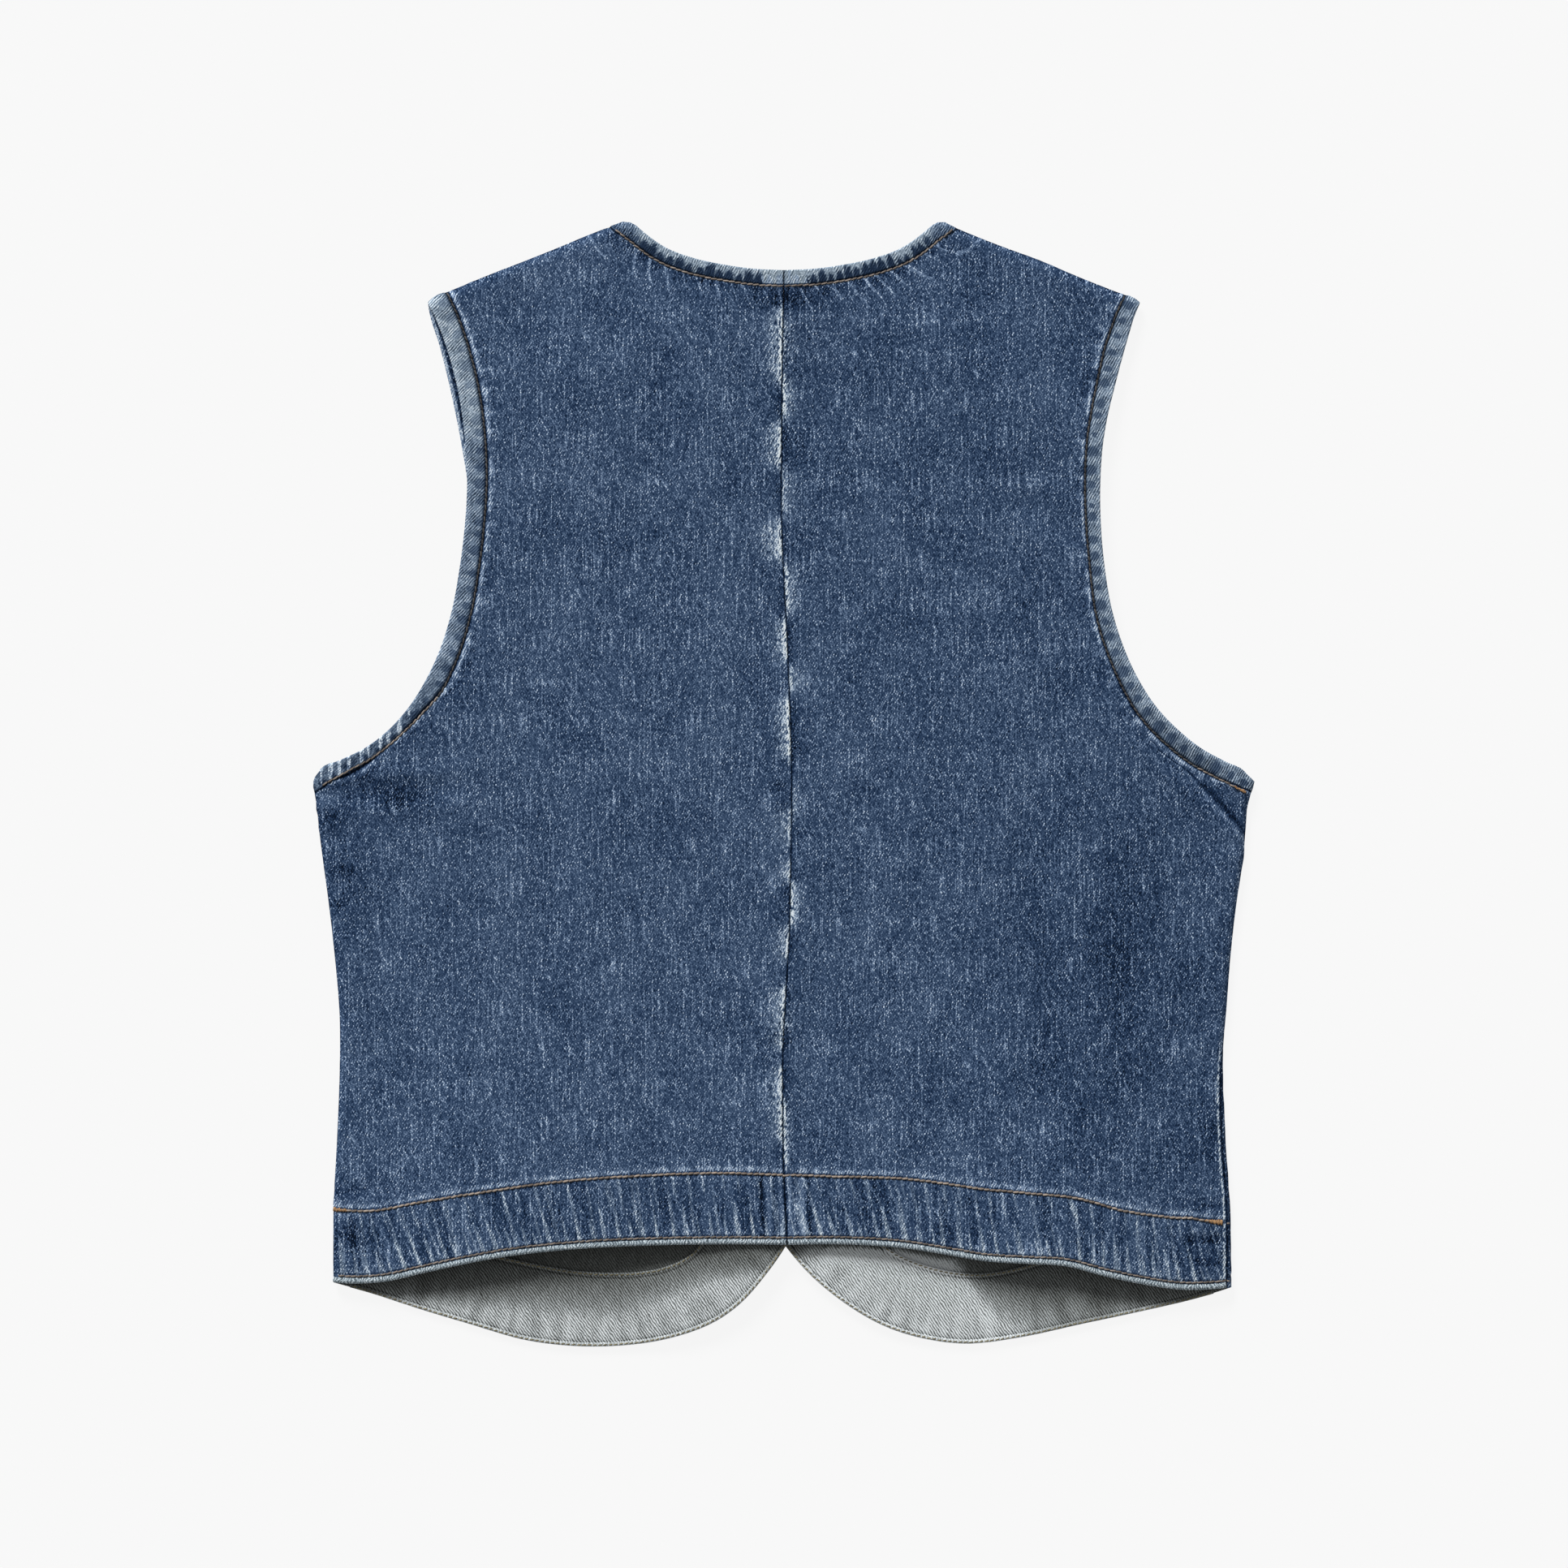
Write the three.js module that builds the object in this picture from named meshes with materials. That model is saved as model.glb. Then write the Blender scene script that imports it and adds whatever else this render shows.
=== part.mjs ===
// A denim waistcoat laid flat on its buttoned front, with its back up.
// Millimetres. +X is the wearer's right, +Y runs to the neck and +Z up from the surface it lies on.
import * as THREE from "three";

// Layers of cloth
const DENIM = 1.1;
const FACING = 1.0;
const HEM_WALL = 1.9;
const CLEARANCE = 0.3;
const FACING_GAP = 0.42;

// Side and shoulder seams, where back and front meet on a soft fold
const SEAM_Z = 3.0;
const FOLD = 5.0;
const FOLD_STEPS = 4;

// Outer face of the back: its height beside the seams and in the middle
const EDGE_TOP = 6.4;
const MOUND = 3.2;
const MOUND_REACH = 75;
const HEM_BAND = 33.5;
const HEM_EDGE = 3;
const HEM_LIFT_REACH = 75;

// The low part of the right side seam has rolled onto the back
const SEAM_ROLL = THREE.MathUtils.degToRad(60);
const SEAM_OPEN = THREE.MathUtils.degToRad(3.6);
const SEAM_ROLL_BELOW = -155;
const SEAM_ROLL_ABOVE = -115;

// Centre front: the right front laps over the left and five buttons lie under both
const OVERLAP = 12;
const BUTTON_RADIUS = 8.5;
const BUTTON_HEIGHT = 2.4;
const BUTTON_DISH = 0.5;
const BUTTON_RIM = 2.2;
const BUTTON_BEVEL = 0.7;
const BUTTON_SEGMENTS = 16;
const BUTTON_COUNT = 5;
const BUTTON_TOP_Y = 92;
const BUTTON_PITCH = 70;
const BUTTON_RISE = BUTTON_HEIGHT + CLEARANCE;
const LAP_RISE = DENIM + FACING + 2 * FACING_GAP;
const RIDGE_LEVEL = 14;
const RIDGE_REACH = 90;
const RIDGE_FADE_FROM = 140;
const RIDGE_FADE_TO = 230;

// Facing inside the fronts: set in from the cut edge, and clear of the folds at the seams
const FACING_INSET = 1.0;
const FACING_COLUMNS = 6;

// Widths from the centre line to the sides, from the hem to the underarm
const SIDE = [
  { y: -206, left: 222.2, right: 220.6 },
  { y: -158, left: 219.7, right: 217.1 },
  { y: -110, left: 219.3, right: 218.2 },
  { y: -62, left: 224.2, right: 222.8 },
  { y: -30, left: 228.5, right: 227.4 },
  { y: -18, left: 229.9, right: 228.2 },
  { y: -8, left: 231.0, right: 228.9 },
  { y: 1, left: 231.7, right: 231.7 },
];

// Lower end of each side seam
const SIDE_CORNER = {
  left: { x: -222.4, y: -246.0 },
  right: { x: 220.9, y: -248.4 },
};

// Widths from the centre line to the armhole's edge, from the underarm to the shoulder
const ARMHOLE = [
  { y: 6, backLeft: 229.5, backRight: 226.8, frontLeft: 229.3, frontRight: 226.6 },
  { y: 11, backLeft: 220.0, backRight: 217.4, frontLeft: 219.0, frontRight: 216.2 },
  { y: 18, backLeft: 205.8, backRight: 204.8, frontLeft: 204.0, frontRight: 202.6 },
  { y: 30, backLeft: 191.2, backRight: 190.6, frontLeft: 188.8, frontRight: 187.6 },
  { y: 42, backLeft: 182.0, backRight: 180.4, frontLeft: 179.2, frontRight: 176.8 },
  { y: 60, backLeft: 172.0, backRight: 170.4, frontLeft: 169.0, frontRight: 166.4 },
  { y: 84, backLeft: 164.0, backRight: 162.0, frontLeft: 161.2, frontRight: 157.6 },
  { y: 114, backLeft: 158.8, backRight: 157.2, frontLeft: 156.6, frontRight: 152.8 },
  { y: 144, backLeft: 156.2, backRight: 155.8, frontLeft: 155.8, frontRight: 151.6 },
  { y: 172, backLeft: 157.4, backRight: 157.8, frontLeft: 160.0, frontRight: 154.2 },
  { y: 198, backLeft: 161.6, backRight: 163.6, frontLeft: 165.4, frontRight: 160.6 },
  { y: 222, backLeft: 168.8, backRight: 170.2, frontLeft: 171.6, frontRight: 168.6 },
  { y: 231, backLeft: 172.6, backRight: 173.0, frontLeft: 174.6, frontRight: 172.2 },
  { y: 237, backLeft: 175.7, backRight: 175.6, frontLeft: 175.7, frontRight: 175.6 },
];

// Shoulder seam: it runs straight and rounds off at the armhole
const SHOULDER = [
  { x: 79, left: 277.0, right: 277.0 },
  { x: 86, left: 274.4, right: 273.6 },
  { x: 123, left: 259.8, right: 258.9 },
  { x: 166, left: 242.4, right: 241.7 },
  { x: 171.8, left: 240.2, right: 239.6 },
];

// Centre back seam, which wanders a little
const CENTRE_BACK = [
  { y: -227.3, x: 1.6 },
  { y: -184, x: -0.2 },
  { y: -122, x: -0.2 },
  { y: -87, x: 2.2 },
  { y: -42, x: 3.4 },
  { y: 4, x: 3.8 },
  { y: 61, x: 2.0 },
  { y: 91, x: 0.6 },
  { y: 122, x: -1.0 },
  { y: 183, x: -1.0 },
  { y: 253, x: 0.0 },
];

// Back neckline, the same on both sides
const BACK_NECK = [
  { x: 0, y: 253.0 },
  { x: 16, y: 253.8 },
  { x: 34, y: 256.6 },
  { x: 50, y: 260.7 },
  { x: 62, y: 266.3 },
  { x: 70, y: 272.6 },
  { x: 75, y: 276.5 },
  { x: 79, y: 277.0 },
];

// Hem of the back, in from the centre back seam
const BACK_HEM = {
  left: [
    { x: -35, y: -227.0 },
    { x: -97, y: -228.9 },
    { x: -143, y: -233.9 },
    { x: -176, y: -240.8 },
    { x: -204, y: -246.4 },
  ],
  right: [
    { x: 28, y: -227.0 },
    { x: 59, y: -228.9 },
    { x: 105, y: -236.0 },
    { x: 128, y: -236.8 },
    { x: 143, y: -238.4 },
    { x: 157, y: -242.4 },
    { x: 174, y: -246.2 },
    { x: 200, y: -249.6 },
  ],
};

// How far the back's hem stands up from where it would lie
const HEM_LIFT = [
  { x: -222, lift: 0.0 },
  { x: -185, lift: 3.4 },
  { x: -150, lift: 4.6 },
  { x: -100, lift: 3.4 },
  { x: -50, lift: 1.4 },
  { x: 0, lift: 0.9 },
  { x: 50, lift: 1.2 },
  { x: 90, lift: 2.0 },
  { x: 128, lift: 4.6 },
  { x: 150, lift: 4.2 },
  { x: 185, lift: 2.6 },
  { x: 221, lift: 0.0 },
];

// Rounded hem of each front, from its corner behind the overlap to the side
const FRONT_HEM = {
  left: [
    { x: 9.6, y: -212.0 },
    { x: 0.8, y: -227.8 },
    { x: -9.6, y: -242.6 },
    { x: -22.4, y: -256.8 },
    { x: -37.2, y: -266.6 },
    { x: -62, y: -274.5 },
    { x: -94, y: -277.4 },
    { x: -126, y: -274.5 },
    { x: -154, y: -266.6 },
    { x: -180, y: -258.8 },
    { x: -204, y: -251.0 },
  ],
  right: [
    { x: -9.6, y: -212.0 },
    { x: 0.8, y: -227.8 },
    { x: 13.6, y: -242.6 },
    { x: 31.2, y: -256.8 },
    { x: 48, y: -266.6 },
    { x: 66, y: -272.8 },
    { x: 90, y: -276.0 },
    { x: 118, y: -272.6 },
    { x: 144.4, y: -266.8 },
    { x: 180, y: -259.2 },
    { x: 206, y: -253.0 },
  ],
};

// Straight front edge and V-neck, in widths past the centre line towards the other side
const FRONT_EDGE = [
  { y: -200, past: 11.6 },
  { y: -170, past: OVERLAP },
  { y: 80, past: OVERLAP },
  { y: 112, past: OVERLAP - 0.6 },
];
const V_NECK = [
  { y: 136, past: 1 },
  { y: 176, past: -21 },
  { y: 216, past: -45 },
  { y: 250, past: -65 },
];

// Facing: where its inner edge lies beside its outer edge, both as distances from the centre line
// towards the facing's own side, and how many steps lead there from the row before
const FACING_COURSE = {
  left: [
    { edgeX: 214, edgeY: -248, innerX: 214, innerY: -211, steps: 0 },
    { edgeX: 154, edgeY: -267, innerX: 142, innerY: -232.4, steps: 5 },
    { edgeX: 94, edgeY: -277, innerX: 92, innerY: -241, steps: 5 },
    { edgeX: 37, edgeY: -267, innerX: 60, innerY: -238.6, steps: 6 },
    { edgeX: 10, edgeY: -243, innerX: 44, innerY: -230, steps: 5 },
    { edgeX: -10, edgeY: -212, innerX: 36.4, innerY: -214, steps: 5 },
    { edgeX: -12, edgeY: -170, innerX: 35, innerY: -172, steps: 3 },
    { edgeX: -12, edgeY: 80, innerX: 35, innerY: 76, steps: 7 },
    { edgeX: -10, edgeY: 117, innerX: 39, innerY: 110, steps: 3 },
    { edgeX: 21, edgeY: 176, innerX: 60, innerY: 160, steps: 5 },
    { edgeX: 77, edgeY: 272, innerX: 116, innerY: 254, steps: 7 },
  ],
  right: [
    { edgeX: 212, edgeY: -251, innerX: 212, innerY: -214, steps: 0 },
    { edgeX: 144, edgeY: -267, innerX: 138, innerY: -232.4, steps: 5 },
    { edgeX: 90, edgeY: -276, innerX: 98, innerY: -241.4, steps: 5 },
    { edgeX: 48, edgeY: -267, innerX: 70, innerY: -237.4, steps: 5 },
    { edgeX: 14, edgeY: -243, innerX: 48, innerY: -226, steps: 5 },
    { edgeX: -10, edgeY: -212, innerX: 37, innerY: -206, steps: 5 },
    { edgeX: -12, edgeY: -170, innerX: 35, innerY: -168, steps: 3 },
    { edgeX: -12, edgeY: 80, innerX: 35, innerY: 76, steps: 7 },
    { edgeX: -10, edgeY: 117, innerX: 39, innerY: 110, steps: 3 },
    { edgeX: 21, edgeY: 176, innerX: 60, innerY: 160, steps: 5 },
    { edgeX: 77, edgeY: 272, innerX: 116, innerY: 254, steps: 7 },
  ],
};

// Rows of a panel's grid: the hem band, heights up the side seam, then steps up the armhole
const HEM_ROWS = [0, HEM_EDGE, HEM_BAND, HEM_BAND + 2];
const SIDE_ROWS = [-180, -145, -115, -85, -58, -38, -22, -10, 1];
const UNDERARM_Y = 1;
const UNDERARM_CROWD = 1.35;
const BACK_PLAN = { turnY: 168, lowerSteps: 12, upperSteps: 5, columns: 12, crowd: 1 };
const FRONT_PLAN = { turnY: 96, lowerSteps: 10, upperSteps: 8, columns: 19, crowd: 1.5 };

const smooth = (t) => THREE.MathUtils.smoothstep(t, 0, 1);

// A line in plan through given points, walked by its length
class Path {
  constructor(points) {
    this.points = points;
    this.lengths = [0];
    for (let i = 1; i < points.length; i++) {
      this.lengths.push(this.lengths[i - 1] + points[i].distanceTo(points[i - 1]));
    }
    this.length = this.lengths[this.lengths.length - 1];
  }

  static through(places) {
    const samplesPerSpan = 24;
    const knots = places.map(({ x, y }) => new THREE.Vector3(x, y, 0));
    const curve = new THREE.CatmullRomCurve3(knots, false, "centripetal");
    const points = curve.getPoints(samplesPerSpan * (knots.length - 1));
    return new Path(points.map((p) => new THREE.Vector2(p.x, p.y)));
  }

  static joined(first, second) {
    return new Path([...first.points, ...second.points.slice(1)]);
  }

  at(length) {
    const s = THREE.MathUtils.clamp(length, 0, this.length);
    let i = this.lengths.findIndex((l) => l >= s);
    i = Math.max(1, i);
    const span = this.lengths[i] - this.lengths[i - 1];
    const t = (s - this.lengths[i - 1]) / span;
    return this.points[i - 1].clone().lerp(this.points[i], t);
  }

  lengthAtY(y) {
    return this.lengths[this.points.findIndex((p) => p.y >= y)];
  }

  lengthNear(place) {
    const gaps = this.points.map((p) => p.distanceTo(place));
    return this.lengths[gaps.indexOf(Math.min(...gaps))];
  }

  distanceFrom(place) {
    let nearest = Infinity;
    for (let i = 1; i < this.points.length; i++) {
      const start = this.points[i - 1];
      const along = this.points[i].clone().sub(start);
      const t = THREE.MathUtils.clamp(place.clone().sub(start).dot(along) / along.lengthSq(), 0, 1);
      nearest = Math.min(nearest, start.clone().addScaledVector(along, t).distanceTo(place));
    }
    return nearest;
  }

  // Sine of the angle at which this path ends on another path's line
  endSine(other) {
    const mine = this.points.slice(-2);
    const across = other.points[other.points.length - 1].clone().sub(other.points[0]).normalize();
    const along = mine[1].clone().sub(mine[0]).normalize();
    return Math.abs(along.cross(across));
  }
}

const SIGN = { left: -1, right: 1 };

// Value of a table at a place, eased from each row to the next
function lookUp(table, key, value, x) {
  if (x <= table[0][key]) return table[0][value];
  const next = table.findIndex((row) => row[key] >= x);
  if (next < 0) return table[table.length - 1][value];
  const low = table[next - 1];
  const high = table[next];
  const t = (x - low[key]) / (high[key] - low[key]);
  return low[value] + (high[value] - low[value]) * smooth(t);
}

// The lines that bound the two panels of one side
function boundaries(side) {
  const sign = SIGN[side];
  const capital = side === "left" ? "Left" : "Right";
  const corner = SIDE_CORNER[side];
  const sidePoints = [corner, ...SIDE.map((row) => ({ x: sign * row[side], y: row.y }))];
  const around = (piece) =>
    Path.through([
      ...sidePoints,
      ...ARMHOLE.map((row) => ({ x: sign * row[piece + capital], y: row.y })),
    ]);
  const tip = (piece) => {
    const last = ARMHOLE[ARMHOLE.length - 1];
    return { x: sign * last[piece + capital], y: last.y };
  };
  const seam = SHOULDER.map((row) => ({ x: sign * row.x, y: row[side] }));
  const shoulder = (piece) => Path.through([...seam, tip(piece)]);
  const neckPoint = seam[0];
  const besideCentre = CENTRE_BACK.map(({ x, y }) => ({ x: x + (sign * CLEARANCE) / 2, y }));
  const centreBack = Path.through(besideCentre);
  const neckPlaces = BACK_NECK.map(({ x, y }) => ({ x: sign * Math.max(x, CLEARANCE / 2), y }));
  const backNeck = Path.through(neckPlaces);
  const hemCentre = besideCentre[0];
  const frontCorner = FRONT_HEM[side][0];
  const frontEdge = Path.through([
    frontCorner,
    ...FRONT_EDGE.map(({ y, past }) => ({ x: -sign * past, y })),
  ]);
  const breakPoint = FRONT_EDGE[FRONT_EDGE.length - 1];
  const vNeck = Path.through([
    { x: -sign * breakPoint.past, y: breakPoint.y },
    ...V_NECK.map(({ y, past }) => ({ x: -sign * past, y })),
    neckPoint,
  ]);
  return {
    back: {
      inner: Path.joined(centreBack, backNeck),
      innerTurn: centreBack.length,
      outer: around("back"),
      hem: Path.through([hemCentre, ...BACK_HEM[side], corner]),
      shoulder: shoulder("back"),
    },
    front: {
      inner: Path.joined(frontEdge, vNeck),
      innerTurn: frontEdge.length,
      outer: around("front"),
      hem: Path.through([...FRONT_HEM[side], corner]),
      shoulder: shoulder("front"),
    },
  };
}

const BOUNDS = { left: boundaries("left"), right: boundaries("right") };

// Side seams and shoulder seams in plan, for how near a place is to one
function seamsOf(side) {
  const { outer, shoulder } = BOUNDS[side].back;
  const underarm = outer.points.findIndex((p) => p.y >= UNDERARM_Y);
  return [new Path(outer.points.slice(0, underarm + 1)), shoulder];
}

const SEAMS = { left: seamsOf("left"), right: seamsOf("right") };

function seamDistance(place, side) {
  return Math.min(...SEAMS[side].map((seam) => seam.distanceFrom(place)));
}

// Share of its full height that the cloth has at a distance from a seam: a quarter of an ellipse
function foldShare(distance) {
  return Math.sqrt(1 - (1 - Math.min(1, distance / FOLD)) ** 2);
}

function seamRoll(y, side) {
  if (side === "left") return 0;
  return SEAM_ROLL * smooth((SEAM_ROLL_ABOVE - y) / (SEAM_ROLL_ABOVE - SEAM_ROLL_BELOW));
}

function hemLift(place, side) {
  const hem = BOUNDS[side].back.hem;
  const hemY = hem.at(hem.lengthNear(place)).y;
  const above = Math.max(0, place.y - hemY) / HEM_LIFT_REACH;
  return lookUp(HEM_LIFT, "x", "lift", place.x) * Math.exp(-above * above);
}

// Outer face of the back
function backZ(place, side) {
  const distance = seamDistance(place, side);
  const rise = MOUND * smooth((distance - FOLD) / (MOUND_REACH - FOLD));
  const top = EDGE_TOP + rise + hemLift(place, side);
  const bottom = SEAM_Z + CLEARANCE / 2;
  return bottom + (top - bottom) * foldShare(distance);
}

// How far the fronts are held up by the buttons, and the left front by the overlap
function frontLift(place, side) {
  const across = smooth((RIDGE_REACH - Math.abs(place.x)) / (RIDGE_REACH - RIDGE_LEVEL));
  const fade = smooth((RIDGE_FADE_TO - place.y) / (RIDGE_FADE_TO - RIDGE_FADE_FROM));
  const rise = side === "left" ? BUTTON_RISE + LAP_RISE : BUTTON_RISE;
  return rise * across * fade;
}

// Outer face of a front, which faces down. Past the fold it comes up onto the back.
function frontZ(place, side, angle) {
  const share = foldShare(seamDistance(place, side));
  const edge = SEAM_Z - CLEARANCE / 2;
  if (angle > 0) return edge + (EDGE_TOP - edge) * share;
  return edge * (1 - share) + frontLift(place, side) * share;
}

// Rows of a panel: where each meets the inner and the outer boundary, and its share of the height
function panelRows(bounds, plan) {
  const { inner, innerTurn, outer, shoulder } = bounds;
  const underarm = outer.lengthAtY(UNDERARM_Y);
  const turn = outer.lengthAtY(plan.turnY);
  const innerUnderarm = inner.lengthAtY(UNDERARM_Y);
  const rows = HEM_ROWS.map((up) => ({ a: up, b: up }));
  for (const y of SIDE_ROWS) {
    const b = outer.lengthAtY(y);
    const share = (b - HEM_BAND) / (underarm - HEM_BAND);
    rows.push({ a: HEM_BAND + share * (innerUnderarm - HEM_BAND), b });
  }
  const walk = (a0, a1, b0, b1, steps, crowd) => {
    for (let i = 1; i <= steps; i++) {
      const t = (i / steps) ** crowd;
      rows.push({ a: a0 + (a1 - a0) * t, b: b0 + (b1 - b0) * t });
    }
  };
  walk(innerUnderarm, innerTurn, underarm, turn, plan.lowerSteps, UNDERARM_CROWD);
  const innerSine = inner.endSine(shoulder);
  const outerSine = outer.endSine(shoulder);
  const foldStart = { a: inner.length - FOLD / innerSine, b: outer.length - FOLD / outerSine };
  walk(innerTurn, foldStart.a, turn, foldStart.b, plan.upperSteps, 1);
  for (let i = FOLD_STEPS - 1; i >= 0; i--) {
    const inset = foldInset(((Math.PI / 2) * i) / FOLD_STEPS);
    rows.push({ a: inner.length - inset / innerSine, b: outer.length - inset / outerSine });
  }
  return rows.map(({ a, b }) => ({ a, b, v: (a / inner.length + b / outer.length) / 2 }));
}

function foldInset(angle) {
  return FOLD * (1 - Math.cos(angle));
}

// A place in the patch that the four boundaries span
function patchPoint({ inner, outer, hem, shoulder }, row, u) {
  const { a, b, v } = row;
  const bilinear = new THREE.Vector2()
    .addScaledVector(hem.at(0), (1 - u) * (1 - v))
    .addScaledVector(hem.at(hem.length), u * (1 - v))
    .addScaledVector(shoulder.at(0), (1 - u) * v)
    .addScaledVector(shoulder.at(shoulder.length), u * v);
  return new THREE.Vector2()
    .addScaledVector(inner.at(a), 1 - u)
    .addScaledVector(outer.at(b), u)
    .addScaledVector(hem.at(u * hem.length), 1 - v)
    .addScaledVector(shoulder.at(u * shoulder.length), v)
    .sub(bilinear);
}

// Length of a row, with what the curved hem adds to it
function rowLength({ inner, outer, hem, shoulder }, { a, b, v }) {
  const chord = (path) => path.at(0).distanceTo(path.at(path.length));
  const straight = inner.at(a).distanceTo(outer.at(b));
  return straight + (1 - v) * (hem.length - chord(hem)) + v * (shoulder.length - chord(shoulder));
}

// Outer face of a panel as rows of points. Columns are close at the centre front and in the fold.
function panelGrid(side, piece, plan) {
  const bounds = BOUNDS[side][piece];
  const last = plan.columns - 1;
  return panelRows(bounds, plan).map((row) => {
    const length = rowLength(bounds, row);
    const y = bounds.outer.at(row.b).y;
    const roll = row.b < bounds.outer.lengthAtY(UNDERARM_Y) ? seamRoll(y, side) : 0;
    const open = (roll / SEAM_ROLL) * SEAM_OPEN;
    const start = piece === "back" ? roll + open : roll - open;
    const end = piece === "back" ? Math.PI / 2 : -Math.PI / 2;
    const points = [];
    for (let i = 0; i < last; i++) {
      const u = (i / last) ** plan.crowd * (1 - FOLD / length);
      points.push(surfacePoint(bounds, row, u, side, piece, end));
    }
    for (let i = FOLD_STEPS; i >= 0; i--) {
      const angle = start + ((end - start) * i) / FOLD_STEPS;
      const u = 1 - foldInset(angle) / length;
      points.push(surfacePoint(bounds, row, u, side, piece, angle));
    }
    return points;
  });
}

function surfacePoint(bounds, row, u, side, piece, angle) {
  const place = patchPoint(bounds, row, u);
  const z = piece === "back" ? backZ(place, side) : frontZ(place, side, angle);
  return new THREE.Vector3(place.x, place.y, z);
}

// Direction of a line of points at one of them, weighted for uneven spacing
function tangent(line, i) {
  const last = line.length - 1;
  if (i > 0 && i < last) {
    const before = line[i].clone().sub(line[i - 1]);
    const after = line[i + 1].clone().sub(line[i]);
    const [h0, h1] = [before.length(), after.length()];
    return before.multiplyScalar(h1 / h0).addScaledVector(after, h0 / h1).normalize();
  }
  const [p0, p1, p2] = i === 0 ? line : [line[last], line[last - 1], line[last - 2]];
  const t1 = p1.distanceTo(p0);
  const t2 = t1 + p2.distanceTo(p1);
  const direction = p0
    .clone()
    .multiplyScalar(-(t1 + t2) / (t1 * t2))
    .addScaledVector(p1, t2 / (t1 * (t2 - t1)))
    .addScaledVector(p2, -t1 / (t2 * (t2 - t1)));
  return direction.multiplyScalar(i === 0 ? 1 : -1).normalize();
}

function normals(grid) {
  const columns = grid[0].map((_, j) => grid.map((row) => row[j]));
  return grid.map((row, i) =>
    row.map((_, j) => tangent(row, j).cross(tangent(columns[j], i)).normalize()),
  );
}

// Inner face: each point of the outer face moved in by the wall there.
// At a seam that lies on the fold the wall's end face is level.
function innerFace(grid, outwardZ, wallAt) {
  const normal = normals(grid);
  const middle = normal[Math.floor(grid.length / 2)][Math.floor(grid[0].length / 2)];
  const inward = middle.z * outwardZ > 0 ? -1 : 1;
  return grid.map((row, i) =>
    row.map((p, j) => {
      const moved = p.clone().addScaledVector(normal[i][j], inward * wallAt(i));
      const onSeam = Math.abs(p.z - SEAM_Z) < CLEARANCE;
      return onSeam ? moved.setZ(p.z) : moved;
    }),
  );
}

// One closed solid between two grids of points that face each other
function closedShell(outer, inner) {
  const rows = outer.length;
  const columns = outer[0].length;
  const positions = [...outer.flat(), ...inner.flat()].flatMap((p) => [p.x, p.y, p.z]);
  const at = (i, j) => i * columns + j;
  const under = (k) => k + rows * columns;
  const index = [];
  for (let i = 0; i + 1 < rows; i++) {
    for (let j = 0; j + 1 < columns; j++) {
      const [a, b, c, d] = [at(i, j), at(i, j + 1), at(i + 1, j + 1), at(i + 1, j)];
      index.push(a, b, c, a, c, d);
      index.push(under(a), under(c), under(b), under(a), under(d), under(c));
    }
  }
  const rim = [];
  for (let j = 0; j + 1 < columns; j++) rim.push(at(0, j));
  for (let i = 0; i + 1 < rows; i++) rim.push(at(i, columns - 1));
  for (let j = columns - 1; j > 0; j--) rim.push(at(rows - 1, j));
  for (let i = rows - 1; i > 0; i--) rim.push(at(i, 0));
  rim.forEach((a, k) => {
    const b = rim[(k + 1) % rim.length];
    index.push(b, a, under(a), b, under(a), under(b));
  });
  const geometry = new THREE.BufferGeometry();
  geometry.setAttribute("position", new THREE.Float32BufferAttribute(positions, 3));
  geometry.setIndex(signedVolume(positions, index) > 0 ? index : index.reverse());
  return geometry;
}

function signedVolume(positions, index) {
  const corner = (k) => new THREE.Vector3().fromArray(positions, 3 * k);
  let six = 0;
  for (let i = 0; i < index.length; i += 3) {
    six += corner(index[i]).dot(corner(index[i + 1]).cross(corner(index[i + 2])));
  }
  return six;
}

function backPanel(side) {
  const grid = panelGrid(side, "back", BACK_PLAN);
  const bandRows = HEM_ROWS.indexOf(HEM_BAND) + 1;
  const wallAt = (i) => (i < bandRows ? HEM_WALL : DENIM);
  return closedShell(grid, innerFace(grid, 1, wallAt));
}

function frontPanel(side) {
  const grid = panelGrid(side, "front", FRONT_PLAN);
  return closedShell(grid, innerFace(grid, -1, () => DENIM));
}

// Facing of a front: a strip along its hem, its front edge and its V-neck, lying on the inside
function facing(side) {
  const sign = SIGN[side];
  const { hem, inner } = BOUNDS[side].front;
  const edge = Path.joined(new Path([...hem.points].reverse()), inner);
  const course = FACING_COURSE[side];
  const innerLine = Path.through(course.map((row) => ({ x: sign * row.innerX, y: row.innerY })));
  const stops = course.map((row) => ({
    a: edge.lengthNear(new THREE.Vector2(sign * row.edgeX, row.edgeY)),
    b: innerLine.lengthNear(new THREE.Vector2(sign * row.innerX, row.innerY)),
    steps: row.steps,
  }));
  const stations = [{ a: stops[0].a, b: stops[0].b }];
  for (let k = 1; k < stops.length; k++) {
    const [from, to] = [stops[k - 1], stops[k]];
    for (let i = 1; i <= to.steps; i++) {
      const t = i / to.steps;
      stations.push({ a: from.a + (to.a - from.a) * t, b: from.b + (to.b - from.b) * t });
    }
  }
  const lower = stations.map(({ a, b }) => {
    const inside = innerLine.at(b);
    const rim = edge.at(a);
    rim.addScaledVector(inside.clone().sub(rim).normalize(), FACING_INSET);
    const points = [];
    for (let j = 0; j <= FACING_COLUMNS; j++) {
      const place = rim.clone().lerp(inside, j / FACING_COLUMNS);
      const z = frontZ(place, side, -1) + DENIM + FACING_GAP;
      points.push(new THREE.Vector3(place.x, place.y, z));
    }
    return points;
  });
  const upper = lower.map((row) => row.map((p) => p.clone().setZ(p.z + FACING)));
  return closedShell(upper, lower);
}

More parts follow.
